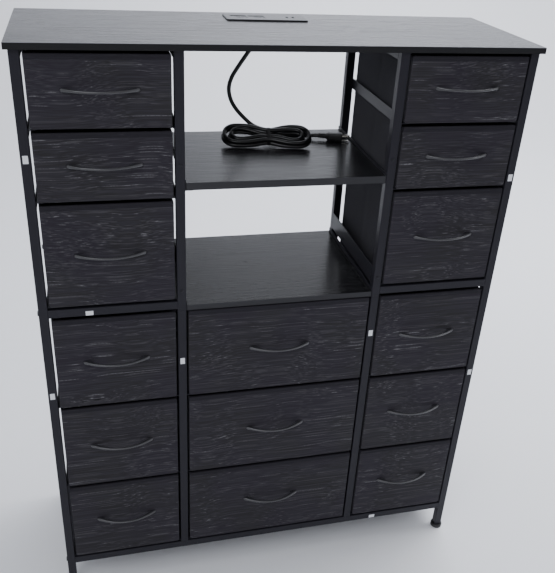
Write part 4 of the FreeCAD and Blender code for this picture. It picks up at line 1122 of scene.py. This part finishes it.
class MakePulls(bpy.types.Operator):
    """Bow pulls with the screws that hold them"""
    bl_idname = "dresser.make_pulls"
    bl_label = "Bow pulls"

    def execute(self, context):
        sizes = context.scene.dresser_sizes
        for body in DRAWERS:
            node_name = body + "_handle"
            low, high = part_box(node_name)
            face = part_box(body + "_front")[0].y
            inner_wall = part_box(body + "_bin")[0].y + BIN_FRONT_WALL
            middle = ((low.x + high.x) / 2, face, (low.z + high.z) / 2)
            half = (high.x - low.x) / 2
            pull = bow_pull(body + "_pull", middle, half, face - low.y, sizes)
            wear(pull, "pull_coat", body, [node_name])
            inset = half - sizes.pull_foot / 2
            heads = [screw_head("head", (middle[0] + side * inset, inner_wall, middle[2]),
                                SCREW_RADIUS, high.y - inner_wall) for side in (-1, 1)]
            screws = join(body + "_screws", heads)
            wear(screws, "zinc_plate", body)
        return {"FINISHED"}


class MakeLabels(bpy.types.Operator):
    """Bare paper labels on the posts and the crossbars"""
    bl_idname = "dresser.make_labels"
    bl_label = "Bare labels"

    def execute(self, context):
        sizes = context.scene.dresser_sizes
        left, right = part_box("left_frame")[0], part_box("right_frame")[1]
        posts = {"left": left.x + TUBE / 2, "right": right.x - TUBE / 2,
                 "middle_left": -MIDDLE_POST, "middle_right": MIDDLE_POST}
        long, short = sizes.label_long, sizes.label_short
        places = [(posts[post], z, short, long) for post, z in POST_LABELS]
        places += [(x, z, long, short) for x, z in BAR_LABELS]
        for index, (x, z, wide, tall) in enumerate(places):
            label = self.sheet("label_%d" % (index + 1), x, left.y, z, wide, tall)
            wear(label, "label_paper", FRAME_BODY)
        return {"FINISHED"}

    def sheet(self, name, x, face, z, wide, tall):
        """Thin closed sheet whose corners curl off the paint by the sixth power of |u v|."""
        u, v = np.meshgrid(np.linspace(-1, 1, 9), np.linspace(-1, 1, 9))
        depth = face - LABEL_GAP - LABEL_CURL * np.abs(u * v) ** 6
        front = np.stack([x + u * wide / 2, depth, z + v * tall / 2], -1)
        back = front + np.array([0, LABEL_THICK, 0])
        points = np.concatenate([front.reshape(-1, 3), back.reshape(-1, 3)])
        return put_mesh(name, points, slab_faces(*u.shape))


class DresserPanel(bpy.types.Panel):
    """Sizes, colours and steps of the dresser"""
    bl_idname = "DRESSER_PT_panel"
    bl_label = "Dresser"
    bl_space_type = "VIEW_3D"
    bl_region_type = "UI"
    bl_category = "Dresser"

    def draw(self, context):
        for settings in (context.scene.dresser_sizes, context.scene.dresser_colours,
                         context.scene.dresser_stage):
            box = self.layout.box()
            for key in settings.bl_rna.properties.keys():
                if key not in ("rna_type", "name"):
                    box.prop(settings, key)
        for step in STEPS:
            self.layout.operator(step.bl_idname)


STEPS = (MakeStage, MakeCord, DressFrame, MakeFronts, MakeBins, MakePulls, MakeLabels)
CLASSES = (DresserSizes, DresserColours, DresserStage) + STEPS + (DresserPanel,)


def register():
    """Adds the classes and the settings to Blender."""
    for each in CLASSES:
        bpy.utils.register_class(each)
    bpy.types.Scene.dresser_sizes = PointerProperty(type=DresserSizes)
    bpy.types.Scene.dresser_colours = PointerProperty(type=DresserColours)
    bpy.types.Scene.dresser_stage = PointerProperty(type=DresserStage)


def unregister():
    """Takes the settings and the classes out again."""
    for setting in ("dresser_sizes", "dresser_colours", "dresser_stage"):
        delattr(bpy.types.Scene, setting)
    for each in reversed(CLASSES):
        bpy.utils.unregister_class(each)


def main():
    """Builds the whole look."""
    register()
    make_finishes(bpy.context.scene.dresser_colours, bpy.context.scene.dresser_sizes)
    for step in STEPS:
        space, call = step.bl_idname.split(".")
        getattr(getattr(bpy.ops, space), call)()


if __name__ == "__main__":
    main()
